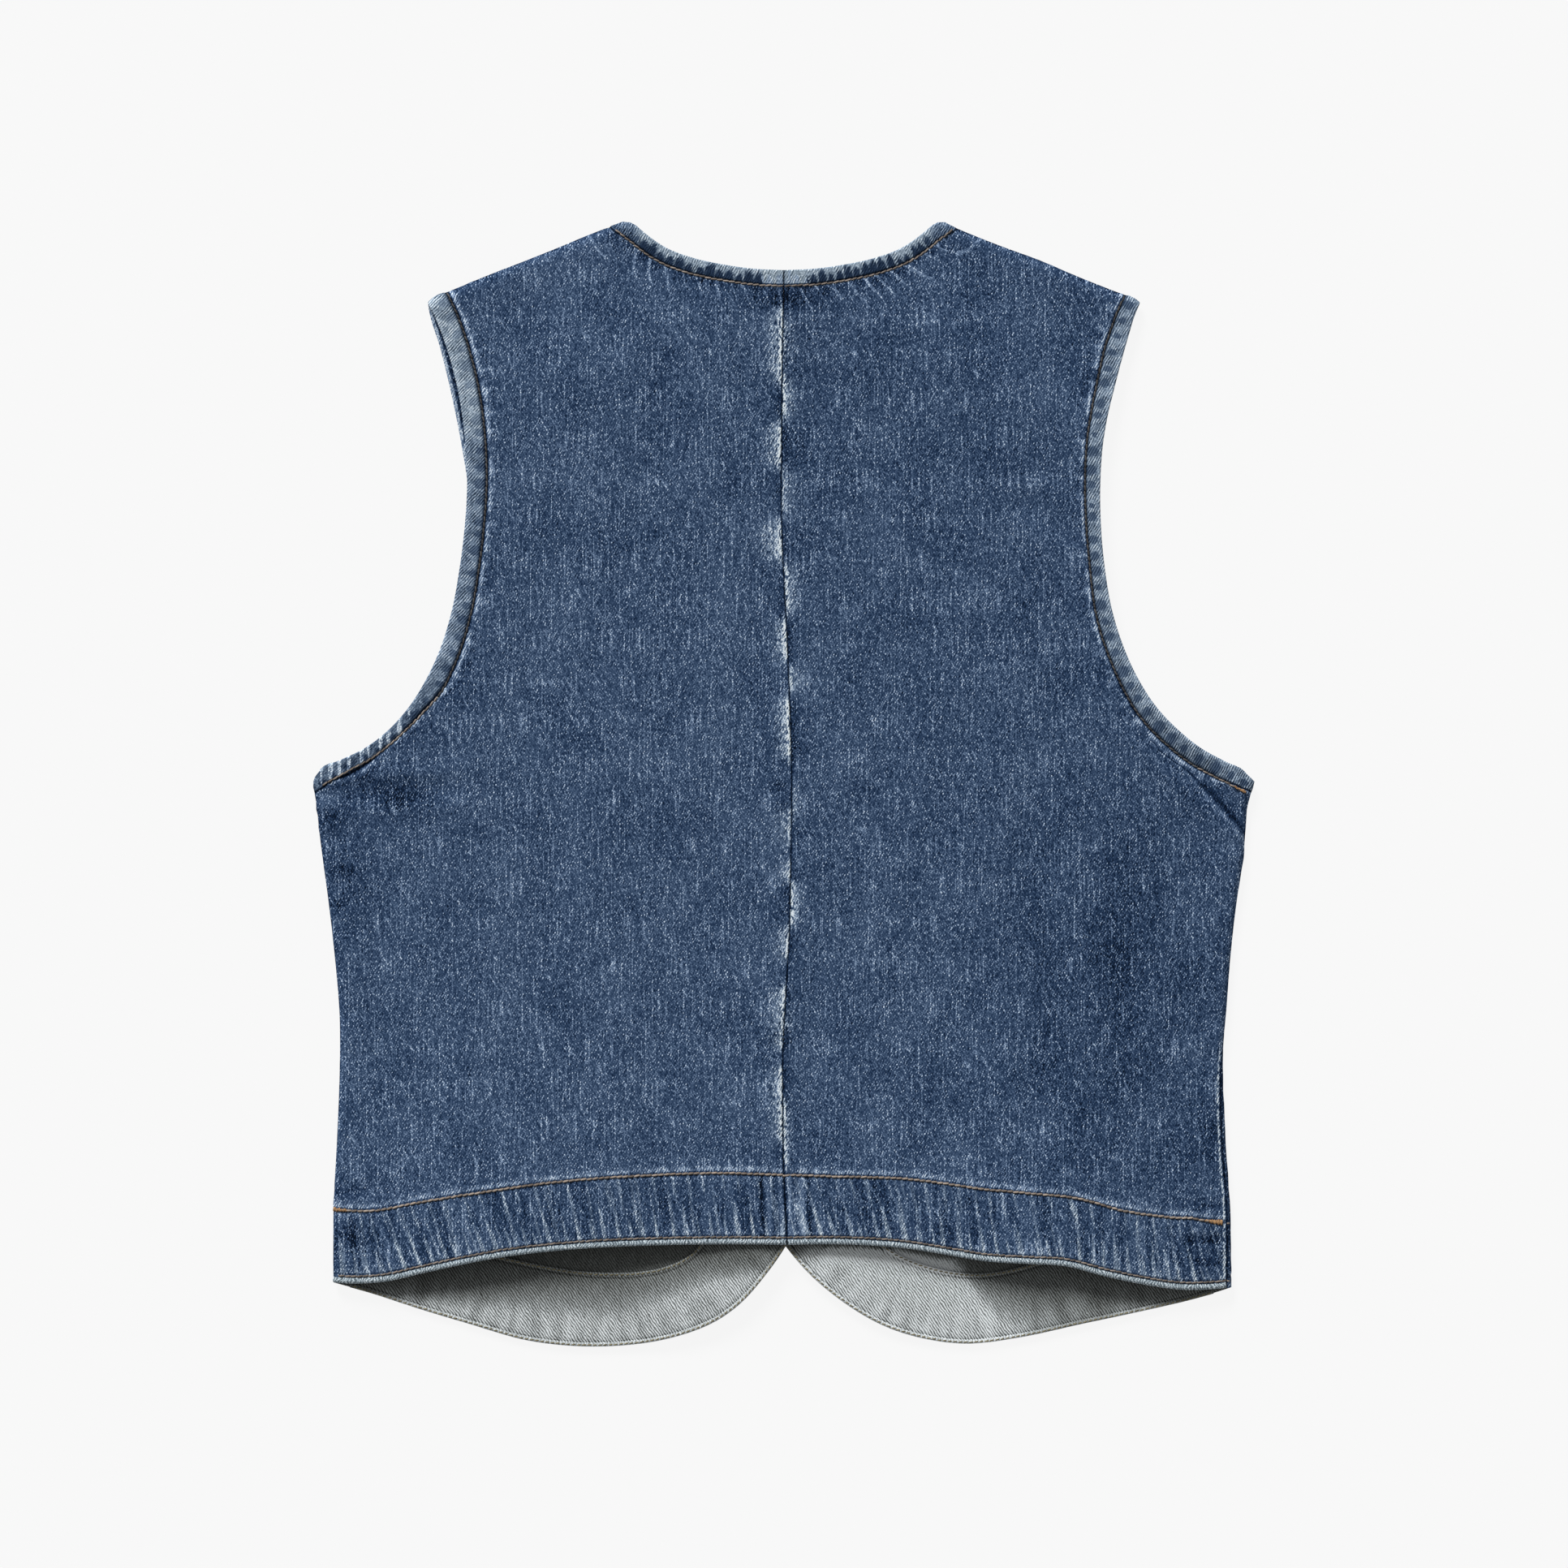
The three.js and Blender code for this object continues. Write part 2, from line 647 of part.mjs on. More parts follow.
// A flat button with a raised rim round a shallow dish, its rim on the ground
function button() {
  const profile = [
    [0, BUTTON_DISH],
    [BUTTON_RADIUS - BUTTON_RIM - BUTTON_BEVEL, BUTTON_DISH],
    [BUTTON_RADIUS - BUTTON_RIM, 0],
    [BUTTON_RADIUS - BUTTON_BEVEL, 0],
    [BUTTON_RADIUS, BUTTON_BEVEL],
    [BUTTON_RADIUS, BUTTON_HEIGHT - BUTTON_BEVEL],
    [BUTTON_RADIUS - BUTTON_BEVEL, BUTTON_HEIGHT],
    [0, BUTTON_HEIGHT],
  ];
  const points = profile.map(([r, h]) => new THREE.Vector2(r, h));
  return new THREE.LatheGeometry(points, BUTTON_SEGMENTS).rotateX(Math.PI / 2);
}

// Each piece is one named mesh with its own material
const vest = new THREE.Group();

function add(name, geometry, color, roughness) {
  const material = new THREE.MeshStandardMaterial({ color, roughness, metalness: 0 });
  const mesh = new THREE.Mesh(geometry, material);
  mesh.name = name;
  vest.add(mesh);
  return mesh;
}

const DENIM_BLUE = 0x3f516b;
const DENIM_REVERSE = 0xa8aeae;
const BUTTON_BLUE = 0x232b3a;

for (const side of ["left", "right"]) {
  add("back_" + side, backPanel(side), DENIM_BLUE, 0.9);
  add("front_" + side, frontPanel(side), DENIM_BLUE, 0.9);
  add("front_facing_" + side, facing(side), DENIM_REVERSE, 0.95);
}
for (let i = 0; i < BUTTON_COUNT; i++) {
  const mesh = add("button_" + (i + 1), button(), BUTTON_BLUE, 0.4);
  mesh.position.set(0, BUTTON_TOP_Y - i * BUTTON_PITCH, 0);
}

export default vest;
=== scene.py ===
import math

import bmesh
import bpy
import numpy as np
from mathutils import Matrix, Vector
from mathutils.bvhtree import BVHTree


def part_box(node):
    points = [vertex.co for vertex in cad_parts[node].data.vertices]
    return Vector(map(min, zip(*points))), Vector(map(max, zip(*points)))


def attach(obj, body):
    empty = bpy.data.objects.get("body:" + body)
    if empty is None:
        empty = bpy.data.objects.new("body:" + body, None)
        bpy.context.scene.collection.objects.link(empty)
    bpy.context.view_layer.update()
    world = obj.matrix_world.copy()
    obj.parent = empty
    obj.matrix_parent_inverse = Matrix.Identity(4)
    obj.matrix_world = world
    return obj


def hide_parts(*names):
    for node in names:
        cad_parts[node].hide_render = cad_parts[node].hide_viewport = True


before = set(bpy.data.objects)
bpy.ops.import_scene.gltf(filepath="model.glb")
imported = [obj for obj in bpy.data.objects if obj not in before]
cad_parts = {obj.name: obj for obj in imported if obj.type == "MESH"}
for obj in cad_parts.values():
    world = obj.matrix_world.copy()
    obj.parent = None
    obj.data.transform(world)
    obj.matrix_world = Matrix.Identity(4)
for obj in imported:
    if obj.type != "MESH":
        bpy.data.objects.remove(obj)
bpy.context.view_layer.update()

# Metres, as in the frame: +X is the wearer's right, +Y the neck, +Z up from the floor.
MM = 0.001

# The photograph looks straight down, and its frame is this wide at the height of the cloth
PHOTO_WIDTH = 772.8 * MM
PHOTO_CENTRE_Y = -0.2 * MM
CLOTH_HEIGHT = 6 * MM
CAMERA_DISTANCE = 8.0

# Thickness of the cloth, of the back's hem and of the facings
DENIM = 1.1 * MM
HEM_WALL = 1.9 * MM
FACING = 1.0 * MM

# How far the facings' outer edge reaches past the CAD's, and how wide the back's rolled lower edge is
FACING_REACH = 1.2 * MM
HEM_TURN = 3.0 * MM

# Rows of stitching, by how far they are from an edge: the back's lowest one and the one at its neck,
# then those of the fronts and of their facings
HEM_ROW = 3.7 * MM
NECK_BAND = 7.8 * MM
FRONT_TOPSTITCH = 6 * MM
FRONT_ARMHOLE = 9 * MM
FACING_ROWS = {"edge": 2.5 * MM, "inner": 2.3 * MM}

# Depth of the back's hem at places across it, and of its armhole edges at heights, in mm
HEM_DEPTH = (
    (-221, 36.2), (-176, 34.5), (-143, 33.0), (-97, 34.0), (-35, 35.2), (0, 34.5),
    (28, 33.3), (105, 35.4), (157, 33.3), (200, 35.6), (220, 32.1),
)
ARMHOLE_DEPTH = {
    "left": (
        (-5, 5.0), (4, 8.4), (14, 6.1), (25, 5.7), (38, 7.1), (49, 9.6), (130, 9.4), (177, 10.1),
        (235, 10.7),
    ),
    "right": (
        (-5, 5.0), (1, 8.9), (36, 9.4), (55, 8.6), (84, 8.2), (110, 7.1), (137, 7.3), (183, 8.4),
        (214, 9.7), (239, 8.3),
    ),
}

# Depth of the back's hem at the side seam, and height of the underarm there
SIDE_HEM_DEPTH = 32.1 * MM
UNDERARM_Y = 1 * MM

# Stitches: how far apart they start, the gap between them (they overlap, so it is negative), how far
# aside each end lies, and the radius of the thread, which is thicker along the hem
STITCH_PITCH = 2.9 * MM
STITCH_GAP = -0.15 * MM
STITCH_SLANT = 0.22 * MM
THREAD_RADIUS = 0.5 * MM
HEM_THREAD = 0.66 * MM

# Buttons: a dished face inside a rim, four holes, and the buttonholes that they pass through
BUTTON_COUNT = 5
BUTTON_DISH = 0.7 * MM
HOLE_OFFSET = 1.55 * MM
HOLE_RADIUS = 0.85 * MM
BUTTONHOLE = 19 * MM

SIDES = ("left", "right")
SIGN = {"left": -1, "right": 1}
OTHER = {"left": "right", "right": "left"}

# A place well inside each side's panels, which tells which way is inwards from their edges
MIDST = {side: (SIGN[side] * 90 * MM, 60 * MM) for side in SIDES}

# How far a fold can push the face of the cloth in, to stay clear of the layers below
DEEPEST = 0.7 * MM

# A distance at which no seam or fold shows on the cloth
FAR = 99 * MM

# Added to lengths along each side's edges, so that the two sides' patterns differ
SHIFT = {"left": 0.0, "right": 500 * MM}

# How far apart the points of each kind of sheet are
STEP = {"back": 2.6 * MM, "front": 3.2 * MM, "facing": 2.4 * MM}

# How far from each edge its own look of the cloth reaches, in widths of the turned edge or hem
ZONE_REACH = {"neck": 3.4, "arm": 2.5, "hem": 1.25}

# The two ends of the first row of points on each kind of CAD sheet, for the right side, in mm
FIRST_ROW = {
    "back": ((1, -227), (222, -248)),
    "front": ((-10, -212), (222, -248)),
    "facing": ((212, -250), (212, -214)),
}


def place_camera():
    data = bpy.data.cameras.new("camera")
    data.sensor_width = 36
    data.lens = data.sensor_width * CAMERA_DISTANCE / PHOTO_WIDTH
    data.clip_end = 2 * CAMERA_DISTANCE
    eye = bpy.data.objects.new("camera", data)
    eye.location = (0, PHOTO_CENTRE_Y, CAMERA_DISTANCE + CLOTH_HEIGHT)
    bpy.context.collection.objects.link(eye)
    bpy.context.scene.camera = eye


def smooth(low, high, x):
    """0 below low, 1 above high and eased between; low may be the greater."""
    t = np.clip((x - low) / (high - low), 0, 1)
    return t * t * (3 - 2 * t)


def bell(x, middle, width):
    return np.exp(-(((x - middle) / width) ** 2))


def lengths(line):
    """How far along a line each of its points lies."""
    return np.concatenate([[0], np.cumsum(np.linalg.norm(np.diff(line, axis=0), axis=1))])


def table(rows, places):
    """Values from rows of place and value in mm, for places in metres."""
    where, values = zip(*rows)
    return np.interp(places / MM, where, values) * MM


def ripple(along, across, pitch, seed):
    """Uneven waves from -1 to 1 with about this pitch, the same on every run."""
    rng = np.random.default_rng(seed)
    total = 0
    for stretch in (1.0, 0.73, 1.31, 0.51, 1.83):
        phase, slant = rng.uniform(0, 2 * math.pi), rng.uniform(-0.35, 0.35)
        total = total + np.sin(2 * math.pi * (along + slant * across) / (pitch * stretch) + phase)
    return total / 3


# Grids of points on the faces of the CAD sheets


def sheet_face(bm, up):
    """The faces of a closed CAD sheet that lie on its upper (or lower) side."""
    sharp = math.radians(60)
    seed = max(bm.faces, key=lambda f: f.calc_center_median().z * up)
    found, todo = {seed}, [seed]
    while todo:
        for edge in todo.pop().edges:
            for other in edge.link_faces:
                if other not in found and edge.calc_face_angle() < sharp:
                    found.add(other)
                    todo.append(other)
    return found


def first_row(found, start, end):
    """The shorter way along the face's border from one corner to another."""

    def ahead(vertex):
        rim = [e for e in vertex.link_edges if sum(f in found for f in e.link_faces) == 1]
        return [e.other_vert(vertex) for e in rim]

    ways = []
    for second in ahead(start):
        way = [start, second]
        while way[-1] is not end:
            way.append(next(v for v in ahead(way[-1]) if v is not way[-2]))
        ways.append(way)
    return min(ways, key=len)


def cad_grid(node, kind, side, up):
    """Rows of points on one side of a CAD sheet, with its border as first and last rows and columns."""
    bm = bmesh.new()
    bm.from_mesh(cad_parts[node].data)
    bmesh.ops.remove_doubles(bm, verts=bm.verts, dist=1e-6)
    face = frozenset(sheet_face(bm, up))
    verts = {v for f in face for v in f.verts}
    corners = [v for v in verts if sum(f in face for f in v.link_faces) < 3]

    def corner(place):
        x, y = SIGN[side] * place[0] * MM, place[1] * MM
        return min(corners, key=lambda v: math.hypot(v.co.x - x, v.co.y - y))

    row = first_row(face, *(corner(place) for place in FIRST_ROW[kind]))
    rows = [row]
    left = set(face)
    while left:
        strip = {f for v in row for f in v.link_faces if f in left}
        left -= strip
        ahead = {v for f in strip for v in f.verts} - set(row)
        links = {v: set() for v in ahead}
        for edge in {e for f in strip for e in f.edges}:
            a, b = edge.verts
            if a in ahead and b in ahead:
                links[a].add(b)
                links[b].add(a)
        row = [
            e.other_vert(row[0])
            for e in row[0].link_edges
            if sum(f in face for f in e.link_faces) == 1 and e.other_vert(row[0]) in ahead
        ]
        while len(row) < len(ahead):
            row.append(next(v for v in links[row[-1]] if v not in row[-2:]))
        rows.append(row)
    grid = np.array([[v.co[:] for v in row] for row in rows])
    bm.free()
    return grid


def slopes(points, runs):
    """Slopes into and out of each point of smooth lines; where a line turns sharply they differ."""
    sharp, gentle = (math.cos(math.radians(turn)) for turn in (65, 40))
    step = np.diff(runs, axis=1)[..., None]
    chord = np.diff(points, axis=1) / step
    h0, h1 = step[:, :-1], step[:, 1:]
    c0, c1 = chord[:, :-1], chord[:, 1:]
    shared = (c0 * h1 + c1 * h0) / (h0 + h1)
    cosine = np.clip((c0 * c1).sum(-1), -1, 1)
    corner = smooth(gentle, sharp, cosine)[..., None]
    before = shared * (1 - corner) + c0 * corner
    after = shared * (1 - corner) + c1 * corner
    first = chord[:, :1] + (chord[:, :1] - chord[:, 1:2]) * h0[:, :1] / (h0 + h1)[:, :1]
    last = chord[:, -1:] + (chord[:, -1:] - chord[:, -2:-1]) * h1[:, -1:] / (h0 + h1)[:, -1:]
    return np.concatenate([before, last], 1), np.concatenate([first, after], 1)


def refined(points, shares):
    """Lines of points with more points: shares[i] says where they go between points i and i + 1."""
    gaps = np.linalg.norm(np.diff(points, axis=1), axis=2)
    runs = np.concatenate([np.zeros((len(points), 1)), np.cumsum(gaps, axis=1)], axis=1)
    arrive, leave = slopes(points, runs)
    made = []
    for i, share in enumerate(shares):
        t = np.asarray(share)[None, :, None]
        p0, p1 = points[:, i : i + 1], points[:, i + 1 : i + 2]
        m0, m1 = (m * gaps[:, i, None, None] for m in (leave[:, i : i + 1], arrive[:, i : i + 1]))
        made.append(
            (2 * t**3 - 3 * t**2 + 1) * p0
            + (t**3 - 2 * t**2 + t) * m0
            + (3 * t**2 - 2 * t**3) * p1
            + (t**3 - t**2) * m1
        )
    return np.concatenate([*made, points[:, -1:]], axis=1)


def crowded(count, power):
    """Shares from 0 up to 1 that crowd near 0, without the 1."""
    return (np.arange(count) / count) ** power


def crowded_last(count, power):
    """Shares from 0 up to 1 that crowd near 1, without the 1."""
    return 1 - ((count - np.arange(count)) / count) ** power


def even_steps(points, step):
    """Even shares for each gap between rows of points, about a step apart."""
    gaps = np.linalg.norm(np.diff(points, axis=1), axis=2).mean(axis=0)
    return [crowded(max(1, round(gap / step)), 1) for gap in gaps]


def fine_grid(grid, step, near_first=18, near_last=5, panel=True):
    """The CAD's grid with rows and columns about a step apart, and closer along its borders."""
    columns = even_steps(grid, step)
    columns[0] = crowded(near_first, 1.9)
    columns[-1] = crowded_last(near_last, 1.6)
    if panel:
        # The last gaps between the CAD's columns lie in the fold at the side seam
        columns[-5] = crowded_last(18, 1.35)
        columns[-4:-1] = [crowded(3, 1)] * 3
    wide = refined(grid, columns).transpose(1, 0, 2)
    rows = even_steps(wide, step)
    rows[0] = crowded(8, 1.7)
    rows[-1] = crowded_last(5, 1.7)
    if panel:
        # The second and third gaps between its rows are the hem and the step above it
        rows[1] = crowded(20, 1)
        rows[2] = crowded(2, 1)
    return refined(wide, rows).transpose(1, 0, 2)


def surface_normals(points, up):
    """Outward normals of a grid of points."""
    across = np.gradient(points, axis=1)
    along = np.gradient(points, axis=0)
    normal = np.cross(across, along)
    normal /= np.linalg.norm(normal, axis=2, keepdims=True)
    middle = normal[normal.shape[0] // 2, normal.shape[1] // 2, 2]
    return normal if middle * up > 0 else -normal


def thin(line, most):
    """A line with at most so many points, its ends kept."""
    keep = np.unique(np.linspace(0, len(line) - 1, most).round().astype(int))
    return line[keep]


def from_line(points, line):
    """Distance of each point from a line, and how far along the line its nearest place lies."""
    start = line[:-1]
    run = line[1:] - start
    square = (run**2).sum(-1)
    before = np.concatenate([[0], np.cumsum(np.sqrt(square))])[:-1]
    flat = points.reshape(-1, 3)
    distance, along = np.empty(len(flat)), np.empty(len(flat))
    at_once = 4000
    for first in range(0, len(flat), at_once):
        block = slice(first, first + at_once)
        offset = flat[block, None, :] - start
        t = np.clip((offset * run).sum(-1) / square, 0, 1)
        gap = np.linalg.norm(offset - t[..., None] * run, axis=-1)
        nearest = gap.argmin(axis=1)
        every = np.arange(len(nearest))
        distance[block] = gap[every, nearest]
        along[block] = before[nearest] + t[every, nearest] * np.sqrt(square[nearest])
    shape = points.shape[:2]
    return distance.reshape(shape), along.reshape(shape)


def border(points):
    """The closed line round a grid."""
    return np.concatenate([points[0], points[1:, -1], points[-1, -2::-1], points[-2::-1, 0]])


def edge_distance(points, reach):
    """Distance from the border of a grid for the points near it, and reach for the others."""
    rows, columns = points.shape[:2]
    near = np.zeros((rows, columns), bool)
    margin = 14
    near[:margin] = near[-margin:] = True
    near[:, :margin] = near[:, -margin:] = True
    result = np.full((rows, columns), reach)
    chosen = points[near][None]
    result[near] = np.minimum(from_line(chosen, border(points))[0][0], reach)
    return result


# Meshes


def shell_faces(rows, columns):
    """Quads of two grids that share their border: the first one's, then the second one's."""
    outer = np.arange(rows * columns).reshape(rows, columns)
    inner = outer.copy()
    inside = np.arange((rows - 2) * (columns - 2)).reshape(rows - 2, columns - 2)
    inner[1:-1, 1:-1] = rows * columns + inside

    def quads(index):
        a, b, c, d = index[:-1, :-1], index[:-1, 1:], index[1:, 1:], index[1:, :-1]
        return np.stack([a, b, c, d], axis=-1).reshape(-1, 4)

    return quads(outer), quads(inner)[:, ::-1]


def mesh_object(name, points, faces, *materials):
    mesh = bpy.data.meshes.new(name)
    mesh.from_pydata([tuple(p) for p in points], [], [tuple(f) for f in faces])
    mesh.shade_smooth()
    for material in materials:
        mesh.materials.append(material)
    mesh.update()
    made = bpy.data.objects.new(name, mesh)
    bpy.context.collection.objects.link(made)
    return made


def enclosed_volume(points, faces):
    a, b, c, d = (points[faces[:, k]] for k in range(4))
    return (np.cross(a, b) * c).sum() + (np.cross(a, c) * d).sum()


def lay_out(mesh, outer_quads):
    """A flat map for baking: the face in one half and the reverse in the other."""
    length, width, margin = 600 * MM, 270 * MM, 0.01
    layer = mesh.uv_layers.new(name="OFBake")
    corners = np.empty(len(mesh.loops), np.int32)
    mesh.loops.foreach_get("vertex_index", corners)
    places = np.empty(len(mesh.vertices) * 3)
    mesh.vertices.foreach_get("co", places)
    flat = places.reshape(-1, 3)[corners][:, :2]
    flat = (flat - flat.min(axis=0)) / length * (1 - 2 * margin) + margin
    flat[:, 0] *= 0.5 * length / width
    flat[outer_quads * 4 :, 0] += 0.5
    layer.data.foreach_set("uv", flat.ravel())


def cloth(node, face, up, wall, relief, materials, zones, inside):
    """A closed shell with this face, rounded along its border, with the wall behind the face.

    The face looks upwards where up is 1, and downwards where it is -1.
    zones says for each point which material the face has there, and inside the same for the inside.
    """
    normal = surface_normals(face, up)
    depth = edge_distance(face, float(np.max(wall)) / 2)
    radius = np.broadcast_to(np.asarray(wall) / 2, depth.shape)
    short = np.clip(1 - depth / radius, 0, 1)
    half = (radius * np.sqrt(1 - short**2))[..., None]
    middle = face - normal * radius[..., None]
    outer = middle + normal * (half + (relief * (1 - short))[..., None])
    inner = middle - normal * half
    rows, columns = depth.shape
    points = np.concatenate([outer.reshape(-1, 3), inner[1:-1, 1:-1].reshape(-1, 3)])
    outer_faces, inner_faces = shell_faces(rows, columns)
    faces = np.concatenate([outer_faces, inner_faces])
    if enclosed_volume(points, faces) < 0:
        faces = faces[:, ::-1]
    made = mesh_object(node + "_cloth", points, faces, *materials)
    used = np.concatenate([zones[:-1, :-1].ravel(), inside[:-1, :-1].ravel()])
    made.data.polygons.foreach_set("material_index", used.astype(np.int32))
    lay_out(made.data, len(outer_faces))
    return made, outer


def mark(made, **fields):
    """Numbers for each point of a shell, given on its grid, for its materials."""
    for name, values in fields.items():
        flat = np.concatenate([values.ravel(), values[1:-1, 1:-1].ravel()])
        layer = made.data.attributes.new(name, "FLOAT", "POINT")
        layer.data.foreach_set("value", flat.astype(np.float32))


def zone_map(bands):
    """0 away from the edges, and 1, 2 and 3 near the neck, the armhole and the hem.

    bands are distances from these edges, in widths of the turned edge or hem.
    """
    zones = np.zeros(bands["neck"].shape, np.int32)
    for number, (name, reach) in enumerate(ZONE_REACH.items(), start=1):
        if name in bands:
            zones[bands[name] < reach] = number
    return zones


# Places on a panel


def panel_lines(face):
    """The border of a panel's face as named lines."""
    inner, outer = face[:, 0], face[:, -1]
    way = np.diff(inner[:, :2], axis=0)
    way /= np.linalg.norm(way, axis=1, keepdims=True)
    turn = 1 + int((way[:-1] * way[1:]).sum(-1).argmin())
    underarm = int(np.abs(outer[:, 1] - UNDERARM_Y).argmin())
    return {
        "hem": face[0],
        "centre": inner[: turn + 1],
        "neck": inner[turn:],
        "side": outer[: underarm + 1],
        "armhole": outer[underarm:],
        "shoulder": face[-1],
    }


def inset(line, gap, towards):
    """A line moved in plan by a gap towards a place."""
    way = np.gradient(line[:, :2], axis=0)
    way /= np.linalg.norm(way, axis=1, keepdims=True)
    normal = np.stack([-way[:, 1], way[:, 0]], axis=1)
    middle = len(line) // 2
    if (normal[middle] * (np.asarray(towards) - line[middle, :2])).sum() < 0:
        normal = -normal
    moved = line.copy()
    moved[:, :2] += normal * np.broadcast_to(gap, len(line))[:, None]
    return moved


def shortened(line, by):
    """A line without so much at each end."""
    length = lengths(line[:, :2])
    return line[(length > by) & (length < length[-1] - by)]


def carried_on(line, cut, reach):
    """A line whose start is cut off by so much and carried on straight from there."""
    kept = line[lengths(line[:, :2]) > cut]
    way = kept[0] - kept[4]
    return np.concatenate([[kept[0] + reach * way / np.linalg.norm(way)], kept])


class Surface:
    """The face of a made piece, to lay thread on. up says which way the face looks."""

    def __init__(self, face, up=1):
        rows, columns = face.shape[:2]
        quads, _ = shell_faces(rows, columns)
        self.up = up
        self.tree = BVHTree.FromPolygons(face.reshape(-1, 3).tolist(), quads.tolist())

    def at(self, x, y):
        """The place on the face at x and y, and the outward normal there."""
        start = Vector((x, y, 0.1 * self.up))
        place, normal, _, _ = self.tree.ray_cast(start, Vector((0, 0, -self.up)))
        if place is None:
            place, normal, _, _ = self.tree.find_nearest(Vector((x, y, 0)))
        if normal.z * self.up < 0:
            normal = -normal
        return np.array(place), np.array(normal)


# Thread


class Thread:
    """Stitches gathered into one mesh."""

    rings = (
        (0.0, 0.5, -0.45),
        (0.08, 0.85, 0.0),
        (0.3, 1.0, 0.45),
        (0.7, 1.0, 0.45),
        (0.92, 0.85, 0.0),
        (1.0, 0.5, -0.45),
    )
    sides = 8

    def __init__(self, seed):
        self.points, self.faces, self.tones = [], [], []
        self.rng = np.random.default_rng(seed)

    def stitch(self, start, end, normal, radius=THREAD_RADIUS):
        """One stitch that dives into the cloth at both ends."""
        run = end - start
        across = np.cross(normal, run)
        across /= np.linalg.norm(across)
        base = len(self.points)
        tone = self.rng.uniform(0.35, 1)
        for share, thick, rise in self.rings:
            centre = start + run * share + normal * radius * rise
            for k in range(self.sides):
                angle = 2 * math.pi * (k + 0.5) / self.sides
                arm = math.cos(angle) * across + math.sin(angle) * normal
                self.points.append(centre + arm * radius * thick)
                self.tones.append(tone * max(0.0, math.sin(angle)) ** 3)
        n = self.sides
        for r in range(len(self.rings) - 1):
            for k in range(n):
                a, b = base + r * n + k, base + r * n + (k + 1) % n
                self.faces.append((a, b, b + n, a + n))
        last = base + (len(self.rings) - 1) * n
        self.faces.append(tuple(base + k for k in reversed(range(n))))
        self.faces.append(tuple(last + k for k in range(n)))

    def run(self, line, surface, pitch=STITCH_PITCH, gap=STITCH_GAP, radius=THREAD_RADIUS):
        """A row of stitches along a line in plan, each a little aslant."""
        wander = 0.12 * MM
        length = lengths(line[:, :2])
        count = max(1, int(length[-1] / pitch))
        ends = np.linspace(0, length[-1], count + 1)
        for low, high in zip(ends[:-1], ends[1:]):
            span = (low + gap / 2, high - gap / 2)
            flat = np.stack([np.interp(span, length, line[:, k]) for k in (0, 1)], axis=1)
            way = flat[1] - flat[0]
            aside = STITCH_SLANT * np.array([-way[1], way[0]]) / np.linalg.norm(way)
            flat += self.rng.uniform(-wander, wander, (2, 2)) + np.array([-aside, aside])
            (start, n0), (end, n1) = (surface.at(x, y) for x, y in flat)
            normal = n0 + n1
            self.stitch(start, end, normal / np.linalg.norm(normal), radius)

    def tack(self, start, end, surface, widths):
        """A short bar of close stitches across the line from start to end; widths are at its two ends."""
        step, raised, wander = 0.5 * MM, 0.25 * MM, 0.3
        start, end = np.asarray(start, float), np.asarray(end, float)
        way = (end - start) / np.linalg.norm(end - start)
        side = np.array([-way[1], way[0]])
        count = int(np.linalg.norm(end - start) / step)
        for k in range(count):
            width = widths[0] + (widths[1] - widths[0]) * k / count
            middle = start + way * k * step
            jog = self.rng.uniform(-wander, wander, 2) * MM
            one, other = middle + side * (width / 2 + jog[0]), middle - side * (width / 2 + jog[1])
            (a, normal), (b, _) = surface.at(*one), surface.at(*other)
            self.stitch(a + normal * raised, b + normal * raised, normal)

    def made(self, name, colour):
        piece = mesh_object(name, np.array(self.points), self.faces, THREADS[colour])
        layer = piece.data.attributes.new("tone", "FLOAT", "POINT")
        layer.data.foreach_set("value", np.array(self.tones, np.float32))
        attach(piece, "root")


# Materials


class Field:
    """A number that varies over a surface: a socket in a material's node tree, with the usual sums."""

    def __init__(self, tree, socket):
        self.tree, self.socket = tree, socket

    def math(self, operation, *others):
        node = self.tree.nodes.new("ShaderNodeMath")
        node.operation = operation
        for slot, value in zip(node.inputs, (self, *others)):
            connect(self.tree, slot, value)
        return Field(self.tree, node.outputs[0])

    def __add__(self, other):
        return self.math("ADD", other)

    def __sub__(self, other):
        return self.math("SUBTRACT", other)

    def __mul__(self, other):
        return self.math("MULTIPLY", other)

    def __truediv__(self, other):
        return self.math("DIVIDE", other)

    def __rsub__(self, other):
        return self * -1.0 + other

    def floor(self):
        return self.math("FLOOR")

    def absolute(self):
        return self.math("ABSOLUTE")

    def power(self, exponent):
        return self.math("POWER", exponent)

    def wave(self):
        """0 to 1 and back for each whole number that the field goes through."""
        return (self * (2 * math.pi)).math("COSINE") * 0.5 + 0.5

    def eased(self, low, high):
        """0 where the field is at low, 1 where it is at high, and eased between."""
        node = self.tree.nodes.new("ShaderNodeMapRange")
        node.interpolation_type = "SMOOTHSTEP"
        connect(self.tree, node.inputs["Value"], self)
        node.inputs["From Min"].default_value = low
        node.inputs["From Max"].default_value = high
        return Field(self.tree, node.outputs["Result"])

    def near(self, middle, width):
        """A bell of height 1 round a value."""
        off = (self - middle) / width
        return (off * off * -1.0).math("EXPONENT")

    def mixed(self, other, share):
        """This field where share is 0 and the other where it is 1."""
        node = self.tree.nodes.new("ShaderNodeMix")
        node.data_type = "FLOAT"
        for name, value in (("Factor", share), ("A", self), ("B", other)):
            connect(self.tree, node.inputs[name], value)
        return Field(self.tree, node.outputs["Result"])


def connect(tree, slot, value):
    if isinstance(value, Field):
        tree.links.new(value.socket, slot)
    else:
        slot.default_value = value


